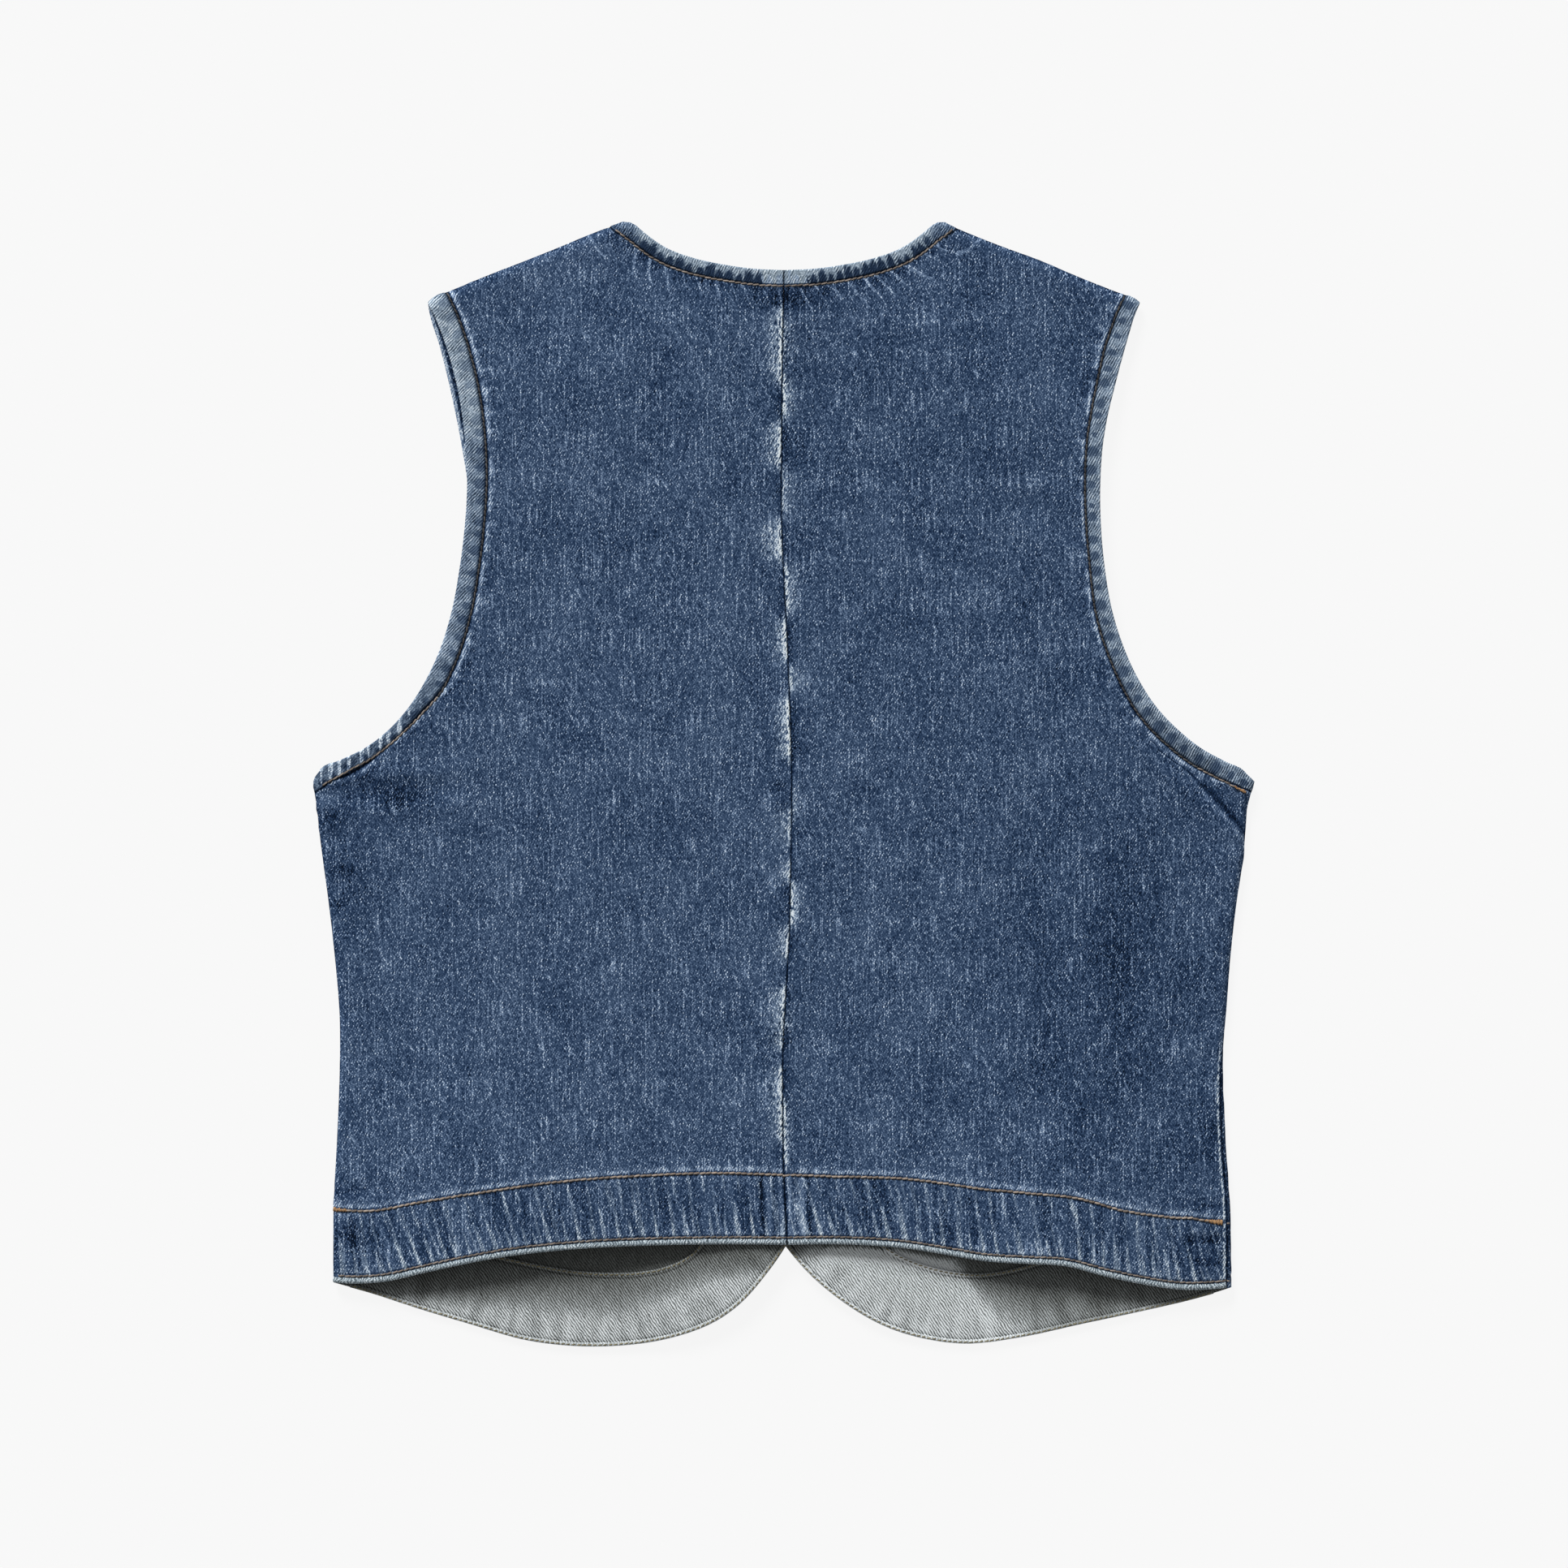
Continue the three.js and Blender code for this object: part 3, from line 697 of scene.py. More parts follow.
class Finish:
    """A material under construction. x and y are places in the piece's plan, in mm.

    seed counts the noises, and each is shifted by it, so that no two are alike.
    """

    def __init__(self, name):
        self.material = bpy.data.materials.new(name)
        self.material.use_nodes = True
        self.tree = self.material.node_tree
        self.shader = self.tree.nodes["Principled BSDF"]
        self.seed = 0
        place = self.tree.nodes.new("ShaderNodeTexCoord").outputs["Object"]
        split = self.tree.nodes.new("ShaderNodeSeparateXYZ")
        self.tree.links.new(place, split.inputs[0])
        self.x, self.y = (Field(self.tree, out) * (1 / MM) for out in split.outputs[:2])

    def attribute(self, name, scale=1 / MM):
        """A number marked on the piece's points; lengths become millimetres."""
        node = self.tree.nodes.new("ShaderNodeAttribute")
        node.attribute_name = name
        return Field(self.tree, node.outputs["Fac"]) * scale

    def vector(self, x, y):
        node = self.tree.nodes.new("ShaderNodeCombineXYZ")
        connect(self.tree, node.inputs[0], x)
        connect(self.tree, node.inputs[1], y)
        return node.outputs[0]

    def noise(self, x, y, detail=0.0):
        """Soft noise from 0 to 1 whose blobs are about one unit of x and y across."""
        self.seed += 1
        node = self.tree.nodes.new("ShaderNodeTexNoise")
        node.noise_dimensions = "2D"
        node.inputs["Scale"].default_value = 1.0
        node.inputs["Detail"].default_value = detail
        self.tree.links.new(self.vector(x + 31.7 * self.seed, y), node.inputs["Vector"])
        return Field(self.tree, node.outputs["Fac"])

    def uneven(self, x, y, least):
        """Soft patches of 1 with this least value between them."""
        return self.noise(x, y).eased(0.3, 0.6) * (1 - least) + least

    def chance(self, x, y):
        """An even random number from 0 to 1 for each pair of values."""
        self.seed += 1
        node = self.tree.nodes.new("ShaderNodeTexWhiteNoise")
        node.noise_dimensions = "2D"
        self.tree.links.new(self.vector(x + 31.0 * self.seed, y), node.inputs["Vector"])
        return Field(self.tree, node.outputs["Value"])

    def ramp(self, field, stops):
        """A colour for each lightness: stops are lightness and sRGB colour, from 0 to 255."""
        node = self.tree.nodes.new("ShaderNodeValToRGB")
        elements = node.color_ramp.elements
        while len(elements) < len(stops):
            elements.new(1.0)
        for element, (lightness, colour) in zip(elements, stops):
            element.position = lightness
            element.color = (*(albedo(c) for c in colour), 1)
        connect(self.tree, node.inputs[0], field)
        return node.outputs["Color"]

    def blend(self, one, other, share):
        node = self.tree.nodes.new("ShaderNodeMix")
        node.data_type = "RGBA"
        connect(self.tree, node.inputs["Factor"], share)
        colours = [slot for slot in node.inputs if slot.type == "RGBA"]
        self.tree.links.new(one, colours[0])
        self.tree.links.new(other, colours[1])
        return next(out for out in node.outputs if out.type == "RGBA")

    def set(self, **values):
        for name, value in values.items():
            self.shader.inputs[name.replace("_", " ")].default_value = value

    def colour(self, socket):
        self.tree.links.new(socket, self.shader.inputs["Base Color"])

    def roughness(self, field):
        connect(self.tree, self.shader.inputs["Roughness"], field)

    def bump(self, height, distance, strength):
        node = self.tree.nodes.new("ShaderNodeBump")
        node.inputs["Strength"].default_value = strength
        node.inputs["Distance"].default_value = distance
        connect(self.tree, node.inputs["Height"], height)
        self.tree.links.new(node.outputs["Normal"], self.shader.inputs["Normal"])

    def dull(self, height):
        """Cotton: no gloss, and yarns that stand out where they are pale."""
        self.set(Roughness=0.95, Specular_IOR_Level=0.0)
        self.bump(height, distance=0.2 * MM, strength=0.25)
        return self.material


# Light that a level surface gets from the studio, so that colours come out as they are named
SKY = 0.32
SUN = 4.0
SUN_TILT = 57
SUN_TURN = 22
SUN_SIZE = 20
STUDIO_LIGHT = SKY + SUN * math.cos(math.radians(SUN_TILT)) / math.pi

# The floor is a light table: it glows, so that the garment's shadow on it stays faint
FLOOR_ALBEDO = 0.03
FLOOR_GLOW = 0.895
FLOOR_HALF = 12
FLOOR_LEVEL = -0.4 * MM


def albedo(value):
    """Linear reflectance that shows as this sRGB value in the studio."""
    v = value / 255
    linear = v / 12.92 if v <= 0.04045 else ((v + 0.055) / 1.055) ** 2.4
    return linear / STUDIO_LIGHT


# Colours of the cloth by lightness: indigo, worn indigo, and undyed cotton
INDIGO = (
    (0.06, (9, 15, 26)),
    (0.14, (20, 35, 58)),
    (0.20, (34, 52, 79)),
    (0.31, (60, 79, 106)),
    (0.42, (88, 107, 134)),
    (0.52, (112, 132, 159)),
    (0.70, (158, 177, 201)),
    (0.85, (204, 217, 229)),
)
WORN = (
    (0.06, (10, 14, 18)),
    (0.20, (44, 52, 58)),
    (0.40, (92, 104, 112)),
    (0.58, (138, 151, 159)),
    (0.72, (174, 187, 195)),
    (0.88, (220, 227, 230)),
)
COTTON = (
    (0.06, (12, 12, 11)),
    (0.20, (48, 50, 49)),
    (0.40, (98, 101, 99)),
    (0.60, (147, 152, 153)),
    (0.75, (181, 187, 189)),
    (0.90, (224, 229, 231)),
)

# Denim's yarns, in mm: four warp yarns and four picks make one twill line
WARP = 0.328
PICK = 0.59


def weave(finish):
    """Fields that the twill is made of: its lines, the lines across them, and specks of bare yarn."""
    x, y = finish.x, finish.y
    x = x + (finish.noise(x / 1.9, y / 2.6) - 0.5) * 0.8
    y = y + (finish.noise(x / 7.0, y / 6.0) - 0.5) * 0.9
    rib = y / (4 * PICK) - x / (4 * WARP)
    lines = rib.wave()
    counter = (y * 0.475 + x * 0.675).wave()
    across, along = rib * 2.0 + 0.5, x * 0.5 + y * 0.9
    column, row = across.floor(), along.floor()
    u, v = across - column - 0.5, along - row - 0.5
    bulge = (u * u + v * v) * -2.4 + 1.3
    speck = finish.chance(column, row) * bulge.math("MAXIMUM", 0.0)
    return lines, counter, speck


def tufts(finish, run, rise, pitch, width, height, middle=0.0, lean=0.0):
    """Soft marks side by side along a line, 1 inside them.

    Half their width is a share of the pitch, and half their height is in the unit of rise. Their torn
    ends lean by so much for each unit of rise.
    """
    cell = run / pitch
    index = cell.floor()
    place = finish.chance(index, 0.0) * 0.36 + 0.32
    size = finish.chance(index, 0.0) * 0.7 + 0.6
    across = (cell - index - place) / (size * width)
    up = (rise - middle) / (size * height)
    torn = (finish.noise((run - rise * lean) / 0.8, rise * 3.0) - 0.5) * 1.2
    return (across * across + up * up + torn).eased(1.3, 0.55)


def washed_face(finish, lines, counter, speck):
    """Lightness of the cloth's face away from the seams."""
    x, y = finish.x, finish.y
    cloud = finish.noise(x / 26.0, y / 34.0, detail=2.0)
    grain = finish.noise(x / 0.9, y / 1.3)
    streak = finish.noise(x / 1.1, y / 7.0)
    drag = finish.noise((x + y * 0.5) / 1.1, y / 9.0)
    slub = finish.noise(x / 0.8, y / 20.0)
    spark = speck * speck * (speck * 0.5 + 0.5)
    face = lines * 0.06 + counter * 0.045 + spark * (lines * 0.165 + counter * 0.12 + 0.06)
    face = face + speck * 0.05 + (grain - 0.5) * 0.17 + (streak - 0.5) * 0.08 + (drag - 0.5) * 0.04
    rare = slub.eased(0.66, 0.8) * 1.3 + drag.eased(0.72, 0.84)
    return face + rare * (speck * 0.14 + 0.06) + (cloud - 0.5) * 0.12 + 0.166


def neck_look(finish, face, lines, speck):
    """The turned neck edge: dark marks on a paler ground, and drags from its stitching."""
    band, run = finish.attribute("neck_band", 1.0), finish.attribute("neck_run")
    centre = finish.attribute("centre_gap")
    right = finish.x.eased(-6, 6)
    rise = 1.0 - band
    fingers = right * 9.0 - 4.5
    pitch, width = right * -0.7 + 4.8, right * -0.12 + 0.6
    marks = tufts(finish, run, rise, pitch, width, height=0.8, lean=fingers)
    tip = finish.x.absolute().eased(69.0, 76.0)
    marks = marks * (1.0 - tip)
    uneven = finish.uneven(run / 2.0, rise * 2.0, least=0.2)
    hatch = (lines - 0.5) * uneven * 0.4 + (speck - 0.45) * 0.22
    rim = rise.eased(0.35, 0.8)
    turned = hatch + right * 0.03 + 0.4 + rim * 0.16 - tip * 0.14
    turned = turned.mixed(hatch * 0.3 + 0.17, marks)
    block = (centre + (finish.noise(finish.x, finish.y / 2.0) - 0.5) * 3.0).eased(11.6, 10.6)
    turned = turned.mixed(hatch + 0.56, block)

    below = band - 1.0
    slant = (right * -2.0 + 1.0) * 3.6
    drags = tufts(finish, run + below * slant, below, pitch=7.4, width=0.1, height=1.5)
    drags = drags * below.eased(0.02, 0.12)
    hollow = tufts(finish, run, below, pitch=9.0, width=0.4, height=0.8) * below.eased(0.0, 0.2)
    pulls = finish.noise(run / 1.2, below).eased(0.58, 0.7) * below.near(0.1, 0.06)
    face = face + drags * (speck * 0.16 + 0.1) + pulls * 0.3
    face = face - hollow * 0.06 - below.near(0.2, 0.25) * 0.03
    inside = band.eased(1.02, 0.98)
    face = face.mixed(turned, inside) * (band.near(0.915, 0.05) * -0.75 + 1.0)
    bare = inside * (block * 0.15 + 0.6) * ((marks + tip) * -0.6 + 1.0)
    return face, bare


def armhole_look(finish, face, lines, speck):
    """The turned armhole edge: worn twill with dark patches beside its stitching."""
    band, run = finish.attribute("arm_band", 1.0), finish.attribute("arm_run")
    right = finish.x.eased(-20, 20)
    rise = 1.0 - band
    left = 1.0 - right
    # The left armhole is palest at its top and darker below, with pale wedges at its lower end
    high, low = finish.y.eased(166, 180) * left, finish.y.eased(74, 32) * left
    waist = finish.y.eased(60, 84) * left - high
    middle = right * 0.14 + 0.28
    patch = tufts(finish, run, rise, pitch=8.2, width=0.26, height=0.3, middle=middle)
    patch = patch * (right * 0.15 + 0.6 - high * 0.2)
    twill = finish.y * (right * -0.18 + 0.6) - finish.x * (right * 0.14 + 0.62)
    twill = (twill + finish.noise(finish.x / 5.0, finish.y / 5.0) * 0.6).wave()
    wedges = tufts(finish, finish.x, rise, pitch=4.8, width=0.2, height=1.1, middle=1.0)
    wedges = wedges * low * finish.y.eased(50, 26) * (speck * 0.45 + 0.13)
    pale = finish.noise(run / 6.0, rise * 1.5).eased(0.35, 0.65)
    broken = finish.uneven(run / 2.2, rise * 3.0, least=0.3)
    turned = (twill - 0.5) * broken * (low * -0.34 + 0.5) + (speck - 0.4) * 0.22
    turned = turned + pale * 0.1 + 0.42
    turned = turned.mixed(twill * 0.14 + 0.2, patch)
    turned = turned + wedges - low * 0.12 + rise.eased(0.7, 0.9) * 0.06 - finish.y.eased(40, 5) * 0.05
    turned = turned + high * 0.045 - waist * 0.055 - right * 0.02

    inside = band.eased(1.03, 0.97)
    strip = finish.noise(run / 9.0, band).eased(0.34, 0.55)
    beyond = band.near(1.2, 0.1) * strip * (lines * 0.3 + speck * 0.16 + 0.06)
    drags = tufts(finish, run, band - 1.1, pitch=9.0, width=0.14, height=0.6)
    drags = drags * (lines * 0.16 + 0.04)
    hollow = band.near(1.6, 0.25) * finish.noise(run / 14.0, band).eased(0.45, 0.6)
    face = face + beyond + drags - hollow * 0.05
    face = face.mixed(turned, inside) * (band.near(1.0, 0.115) * -0.86 + 1.0)
    bare = inside * (right * 0.1 + high * 0.25 + 0.35) * (patch * -0.6 + 1.0)
    return face, bare


def hem_look(finish, face, lines, speck):
    """The deep hem: ropes of wear between its two rows of stitching, and its rolled edge."""
    band, run = finish.attribute("hem_band", 1.0), finish.attribute("hem_run")
    centre = finish.attribute("centre_gap")
    right = finish.x.eased(-6, 6)
    within = band.eased(1.004, 0.996)
    rise = band - 0.088
    leaning = run + rise * (right * 15.0 - 5.0)
    fibre = lines * 0.5 + speck * 0.4 + 0.3
    ropes = tufts(finish, leaning, rise, pitch=6.6, width=0.15, height=0.42) * 0.27
    ropes = ropes + tufts(finish, leaning, rise, pitch=9.7, width=0.09, height=0.85) * 0.17
    ropes = ropes + tufts(finish, leaning, 0.9 - rise, pitch=8.1, width=0.1, height=0.42) * 0.18
    ropes = ropes + rise.near(0.03, 0.06) * 0.08
    hollows = tufts(finish, leaning, rise, pitch=13.0, width=0.3, height=0.5, middle=0.5) * 0.05
    imprint = centre.near(8.2, 1.6) * 0.17 + centre.near(2.2, 1.0) * 0.15 - centre.near(11.6, 1.1) * 0.13
    face = face + (ropes * fibre - hollows + imprint - 0.01) * within

    above = band - 1.0
    worn = finish.uneven(run / 3.0, band * 6.0, least=0.3)
    face = face + above.near(0.06, 0.04) * worn * (lines * 0.28 + speck * 0.16 + 0.03)
    sewn = above.near(0.025, 0.01) + above.near(-0.023, 0.009) * 0.6
    face = face * (sewn * -0.45 + 1.0)

    rolled = band.eased(0.084, 0.074)
    ticks = (run / 1.5 + band * 8.0 + finish.noise(run / 4.0, band * 20.0) * 1.6).wave()
    edge = (speck - 0.4) * 0.24 + (lines - 0.5) * 0.1 + (ticks - 0.5) * 0.34 + 0.56
    sewn = band.near(0.13, 0.01) + band.near(0.088, 0.008) * 0.7
    face = face.mixed(edge, rolled) * (sewn * -0.5 + 1.0)
    bare = rolled + within * ropes * 1.2
    return face, bare


def reverse_look(finish, counter, speck):
    """The undyed weft side: clear twill lines."""
    x, y = finish.x, finish.y
    mottle = finish.noise(x / 1.6, y / 7.0)
    grain = finish.noise(x / 0.8, y / 0.8)
    stripes = counter.power(0.8) * 0.56
    return stripes + (speck - 0.5) * 0.08 + (grain - 0.5) * 0.22 + (mottle - 0.5) * 0.14 + 0.31


def denim_material(name, look=None):
    """Washed denim, with what an edge's sewing does to it."""
    finish = Finish(name)
    lines, counter, speck = weave(finish)
    face = washed_face(finish, lines, counter, speck)
    cream = finish.attribute("cream", 1.0)
    face = face + finish.attribute("shade", 1.0)
    torn = finish.noise(finish.x / 1.1, finish.y / 2.4).eased(0.22, 0.55)
    face = face + cream * torn * (lines * 0.45 + speck * 0.5 + 0.2)
    bare = cream * torn * 0.75
    if look:
        face, worn = look(finish, face, lines, speck)
        bare = (bare + worn).math("MINIMUM", 1.0)
    seams = finish.attribute("centre_gap").near(0.0, 0.6) + finish.attribute("seam_gap").near(0.0, 0.7)
    fold = finish.attribute("fold_gap")
    hollow = seams + fold.near(0.5, 1.5) * 0.8
    face = face * (hollow * -0.6 + 1.0) + fold.near(-2.4, 1.2) * (lines * 0.16 + 0.04)
    finish.colour(finish.blend(finish.ramp(face, INDIGO), finish.ramp(face, WORN), bare))
    return finish.dull(face)


def inside_material():
    """The panels' weft side, which only shows in the garment's shade."""
    finish = Finish("denim inside")
    _, counter, speck = weave(finish)
    face = reverse_look(finish, counter * 0.7 + 0.2, speck)
    finish.colour(finish.ramp(face * finish.attribute("hem_shade", 1.0), COTTON))
    return finish.dull(face)


def facing_material():
    """The weft side of the facings, with their pale turned edges."""
    finish = Finish("denim reverse")
    _, counter, speck = weave(finish)
    edge, inner = finish.attribute("edge_gap"), finish.attribute("inner_gap")
    run = finish.attribute("edge_run")
    face = reverse_look(finish, counter, speck) + 0.06
    ribs = finish.noise(run / 5.5, edge / 26.0)
    face = face + (ribs - 0.5) * edge.eased(26.0, 6.0) * 0.24
    ticks = (run / 1.4 + finish.noise(run / 3.0, edge / 3.0) * 1.6).wave()
    face = face.mixed(ticks * 0.2 + speck * 0.2 + 0.56, edge.eased(2.1, 1.7))
    face = face - edge.near(2.4, 0.35) * 0.2
    face = face + inner.eased(2.2, 1.5) * (ticks * 0.14 + 0.14) - inner.near(2.6, 0.4) * 0.2
    finish.colour(finish.ramp(face * finish.attribute("hem_shade", 1.0), COTTON))
    return finish.dull(face)


def thread_material(name, dark, light):
    """Spun thread: each stitch has its own tone."""
    finish = Finish(name)
    tone = finish.attribute("tone", 1.0)
    flecks = finish.noise(finish.x / 0.3, finish.y / 0.3)
    finish.colour(finish.ramp(tone * 0.6 + flecks * 0.4, ((0.2, dark), (0.75, light))))
    finish.set(Roughness=0.7, Specular_IOR_Level=0.15)
    return finish.material


def resin_material():
    """Dark brown resin of the buttons, softly clouded."""
    finish = Finish("button resin")
    cloud = finish.noise(finish.x / 5.0, finish.y / 3.0, detail=3.0)
    finish.colour(finish.ramp(cloud, ((0.35, (38, 30, 26)), (0.55, (66, 51, 41)), (0.7, (104, 82, 63)))))
    finish.roughness(cloud * 0.2 + 0.22)
    finish.bump(cloud, distance=0.05 * MM, strength=0.4)
    return finish.material


# Panels

# How far from the back's hem the fronts' inside stays dim, at places across it, in mm
SHADE_REACH = (
    (-200, 8), (-186, 12), (-170, 19), (-146, 26), (-106, 34), (-82, 38), (-58, 28), (-38, 20),
    (-14, 16), (14, 4), (30, 2), (84, 3), (98, 22), (106, 30), (118, 38), (142, 42), (154, 34),
    (166, 20), (178, 13), (200, 12),
)

# Orange backtacks, in mm: the row that each is on, where it starts and stops along that row, counted
# from the side seam, and its widths there
TACKS = {
    "left": [("hem", 0.5, 7.5, (1.8, 1.2))],
    "right": [("hem", 0.3, 9.0, (2.6, 1.0)), ("armhole", 0.5, 7.0, (1.3, 0.8))],
}

# Below this height the thread along the armholes is brown, and above it nearly black
BROWN_BELOW = {"left": 42 * MM, "right": 8 * MM}

# Folds of the back, in mm: a line through each, half its width, and how deep it is (a ridge if negative)
CREASES = (
    (((-232, -6), (-205, -4), (-172, -3), (-146, 0)), 4.5, 1.1),
    (((-232, -17), (-218, -14)), 2.5, 0.7),
    (((-176, 38), (-160, 62)), 5.0, 0.6),
    (((170, 40), (189, 15), (218, -8), (229, -27)), 5.0, 1.7),
    (((176, 27), (200, 0), (222, -32)), 5.0, -0.5),
    (((157, -30), (163, -70), (169, -128)), 11.0, 1.1),
    (((112, 143), (128, 132), (146, 117)), 6.0, 0.7),
    (((107, 40), (105, -60), (110, -190)), 15.0, -0.8),
    (((-98, 60), (-104, -40), (-96, -180)), 17.0, -0.6),
    (((-122, 196), (-112, 176)), 12.0, 0.5),
    (((221, -208), (196, -206)), 2.2, 0.5),
    (((221, -225), (196, -224)), 2.2, 0.5),
    (((-223, -201), (-200, -200)), 2.2, 0.5),
)

# Edge of a fold below the right armhole, in mm; the cloth on its lower side laps over
FOLD = ((172, 31), (180, 22), (190, 12), (202, 3), (212, -7), (222, -18), (231, -30))

# Bare yarn beside the centre back seam, in mm: upper and lower end, width, and how strong it is
SEAM_WEAR = {
    "left": (
        (236, 196, 4.0, 0.9), (180, 154, 4.2, 0.9), (130, 108, 6.0, 0.9), (82, 59, 3.4, 1.0),
        (44, 10, 3.6, 1.0), (-10, -31, 5.0, 0.5), (-37, -50, 3.6, 0.7), (-69, -89, 4.2, 0.7),
        (-98, -132, 4.0, 0.8), (-137, -178, 3.2, 0.9),
    ),
    "right": (
        (231, 206, 3.4, 0.5), (203, 177, 3.4, 0.8), (157, 130, 4.0, 0.5), (110, 82, 3.4, 0.75),
        (58, 44, 4.0, 0.7), (1, -20, 3.0, 0.3), (-47, -72, 3.0, 0.8), (-111, -126, 3.0, 0.4),
        (-154, -190, 1.8, 0.8),
    ),
}

# Darker and paler places on the back, in mm: middle across and up, half sizes, and lightness added
SHADES = (
    (0, 238, 15, 3.6, -0.17), (8, 164, 6, 8, -0.06), (-3, -1, 4, 2.5, -0.12),
    (-1, -12, 3, 3, -0.12), (-2, -124, 5, 5, -0.08), (-186, -8, 14, 4, -0.06),
    (-226, -7, 6, 4, 0.12), (-214, -223, 10, 7, -0.1), (-215, -201, 9, 2, -0.12),
    (212, -171, 6, 5, -0.12), (210, -183, 7, 3, -0.1), (208, -208, 9, 2, -0.14),
    (207, -225, 9, 2, -0.14), (209, -236, 8, 2, -0.12), (165, -85, 9, 45, -0.05),
    (206, -2, 6, 4, -0.05), (214, -9, 6, 4, -0.06), (222, -17, 5, 5, -0.08),
    (60, 205, 150, 60, -0.015), (150, 0, 110, 260, -0.015), (165, -110, 50, 90, -0.03),
    (140, -125, 15, 45, -0.03), (-222, -50, 25, 50, -0.025), (-201, -4, 30, 8, -0.09),
    (-224, -17, 8, 3.5, -0.11), (-218, -43, 8, 3.5, -0.09), (-220, -60, 6, 3, -0.08),
)


def level_line(places):
    """A level line through places in mm."""
    return np.array([(x, y, 0) for x, y in places]) * MM


def seam_wear(face, gap, side):
    """How bare the cloth is beside the centre back seam."""
    y = face[..., 1] / MM
    gap = gap / MM
    total = np.zeros_like(gap)
    for top, low, width, share in SEAM_WEAR[side]:
        along = smooth(low - 3, low + 6, y) * smooth(top + 3, top - 6, y)
        fringe = (1 - np.clip(gap / (3.0 * width * (0.3 + 0.7 * along)), 0, 1)) ** 1.6
        total = np.maximum(total, share * along * (0.8 * fringe + 0.7 * bell(gap, 0.9, 0.8)))
    return total


def creases(face):
    """How far folds push the cloth in. They run out at their ends, but less near the side seams."""
    plan = face * (1, 1, 0)
    by_seam = np.abs(face[..., 0]) > 200 * MM
    total = np.zeros(face.shape[:2])
    for places, half, depth in CREASES:
        line = level_line(places)
        gap, run = from_line(plan, line)
        share = run / lengths(line)[-1]
        fade = smooth(-0.01, 0.2, share) * smooth(1.01, 0.7, share)
        gap = gap / (half * MM)
        shape = bell(gap, 0, 1) - 0.35 * bell(gap, 1.9, 0.8)
        total += depth * MM * np.maximum(fade, 0.4 * by_seam) * shape
    return total


def fold_gap(face):
    """Distance from the fold by the right armhole, negative below it; it fades in from its upper end."""
    line = level_line(FOLD)
    gap, run = from_line(face * (1, 1, 0), line)
    sign = np.where(face[..., 1] < np.interp(face[..., 0], line[:, 0], line[:, 1]), -1, 1)
    faint = 3 * MM * smooth(52 * MM, 30 * MM, run) + FAR * smooth(12 * MM, 2 * MM, run)
    return sign * (gap + faint)


def shades(face):
    """Lightness added by the darker and paler places."""
    x, y = face[..., 0] / MM, face[..., 1] / MM
    total = np.zeros_like(x)
    for across, up, wide, high, add in SHADES:
        total += add * bell(np.hypot((x - across) / wide, (y - up) / high), 0, 1)
    return total


def back_relief(face, lines, side):
    """How far the back's face stands out of the CAD's smooth one, and the fields round its edges."""
    edges = ("neck", "armhole", "hem", "centre", "side")
    fields = {edge: from_line(face, thin(lines[edge], 70)) for edge in edges}
    neck, neck_run = fields["neck"]
    arm, arm_run = fields["armhole"]
    hem, hem_run = fields["hem"]
    centre, centre_run = fields["centre"]
    seam, seam_run = fields["side"]
    x, y = face[..., 0], face[..., 1]
    relief = 0.3 * MM * ripple(x, y, 74 * MM, 3) * smooth(0, 30 * MM, np.minimum(arm, hem))
    relief += 0.06 * MM * ripple(x, y, 11 * MM, 5) * ripple(y, x, 13 * MM, 6)
    relief -= creases(face)
    relief = np.where(relief < 0, DEEPEST * np.tanh(relief / DEEPEST), relief)
    puckers = ripple(seam_run, seam, 21 * MM, 8)
    relief += (0.45 + 0.35 * puckers) * MM * np.exp(-seam / (15 * MM)) * smooth(0, 4 * MM, seam)

    band = smooth(NECK_BAND, NECK_BAND - 1.4 * MM, neck)
    relief += band * (0.3 * MM + 0.1 * MM * ripple(neck_run, neck, 5 * MM, 11))
    relief -= 0.35 * MM * bell(neck, NECK_BAND, 0.7 * MM)

    width = table(ARMHOLE_DEPTH[side], y)
    band = smooth(0, -1.6 * MM, arm - width)
    relief += band * (0.3 * MM + 0.16 * MM * ripple(arm_run, arm, 7 * MM, 12))
    relief -= 0.45 * MM * bell(arm, width, 1.0 * MM)
    relief += 0.12 * MM * bell(arm, width + 2 * MM, 2.5 * MM) * ripple(arm_run, arm, 6 * MM, 13)

    depth = table(HEM_DEPTH, x)
    rope = ripple(hem_run + 0.13 * SIGN[side] * hem, hem, 7.6 * MM, 14)
    relief += 0.2 * MM * rope * smooth(18 * MM, 2 * MM, hem)
    relief += 0.25 * MM * smooth(HEM_TURN, 0.6 * HEM_TURN, hem)
    relief -= 0.25 * MM * bell(hem, HEM_TURN, 0.7 * MM)
    relief -= 0.3 * MM * bell(hem, depth, 0.8 * MM)
    relief += 0.2 * MM * bell(hem, depth + 2.4 * MM, 1.3 * MM)
    relief += 0.12 * MM * bell(hem, depth, 7 * MM) * ripple(hem_run, hem, 8.5 * MM, 15)

    relief += 0.14 * MM * smooth(11 * MM, 9.5 * MM, centre)
    relief += 0.12 * MM * bell(centre, 2.5 * MM, 2.5 * MM) * ripple(centre_run, centre, 7 * MM, 16)
    return relief, fields


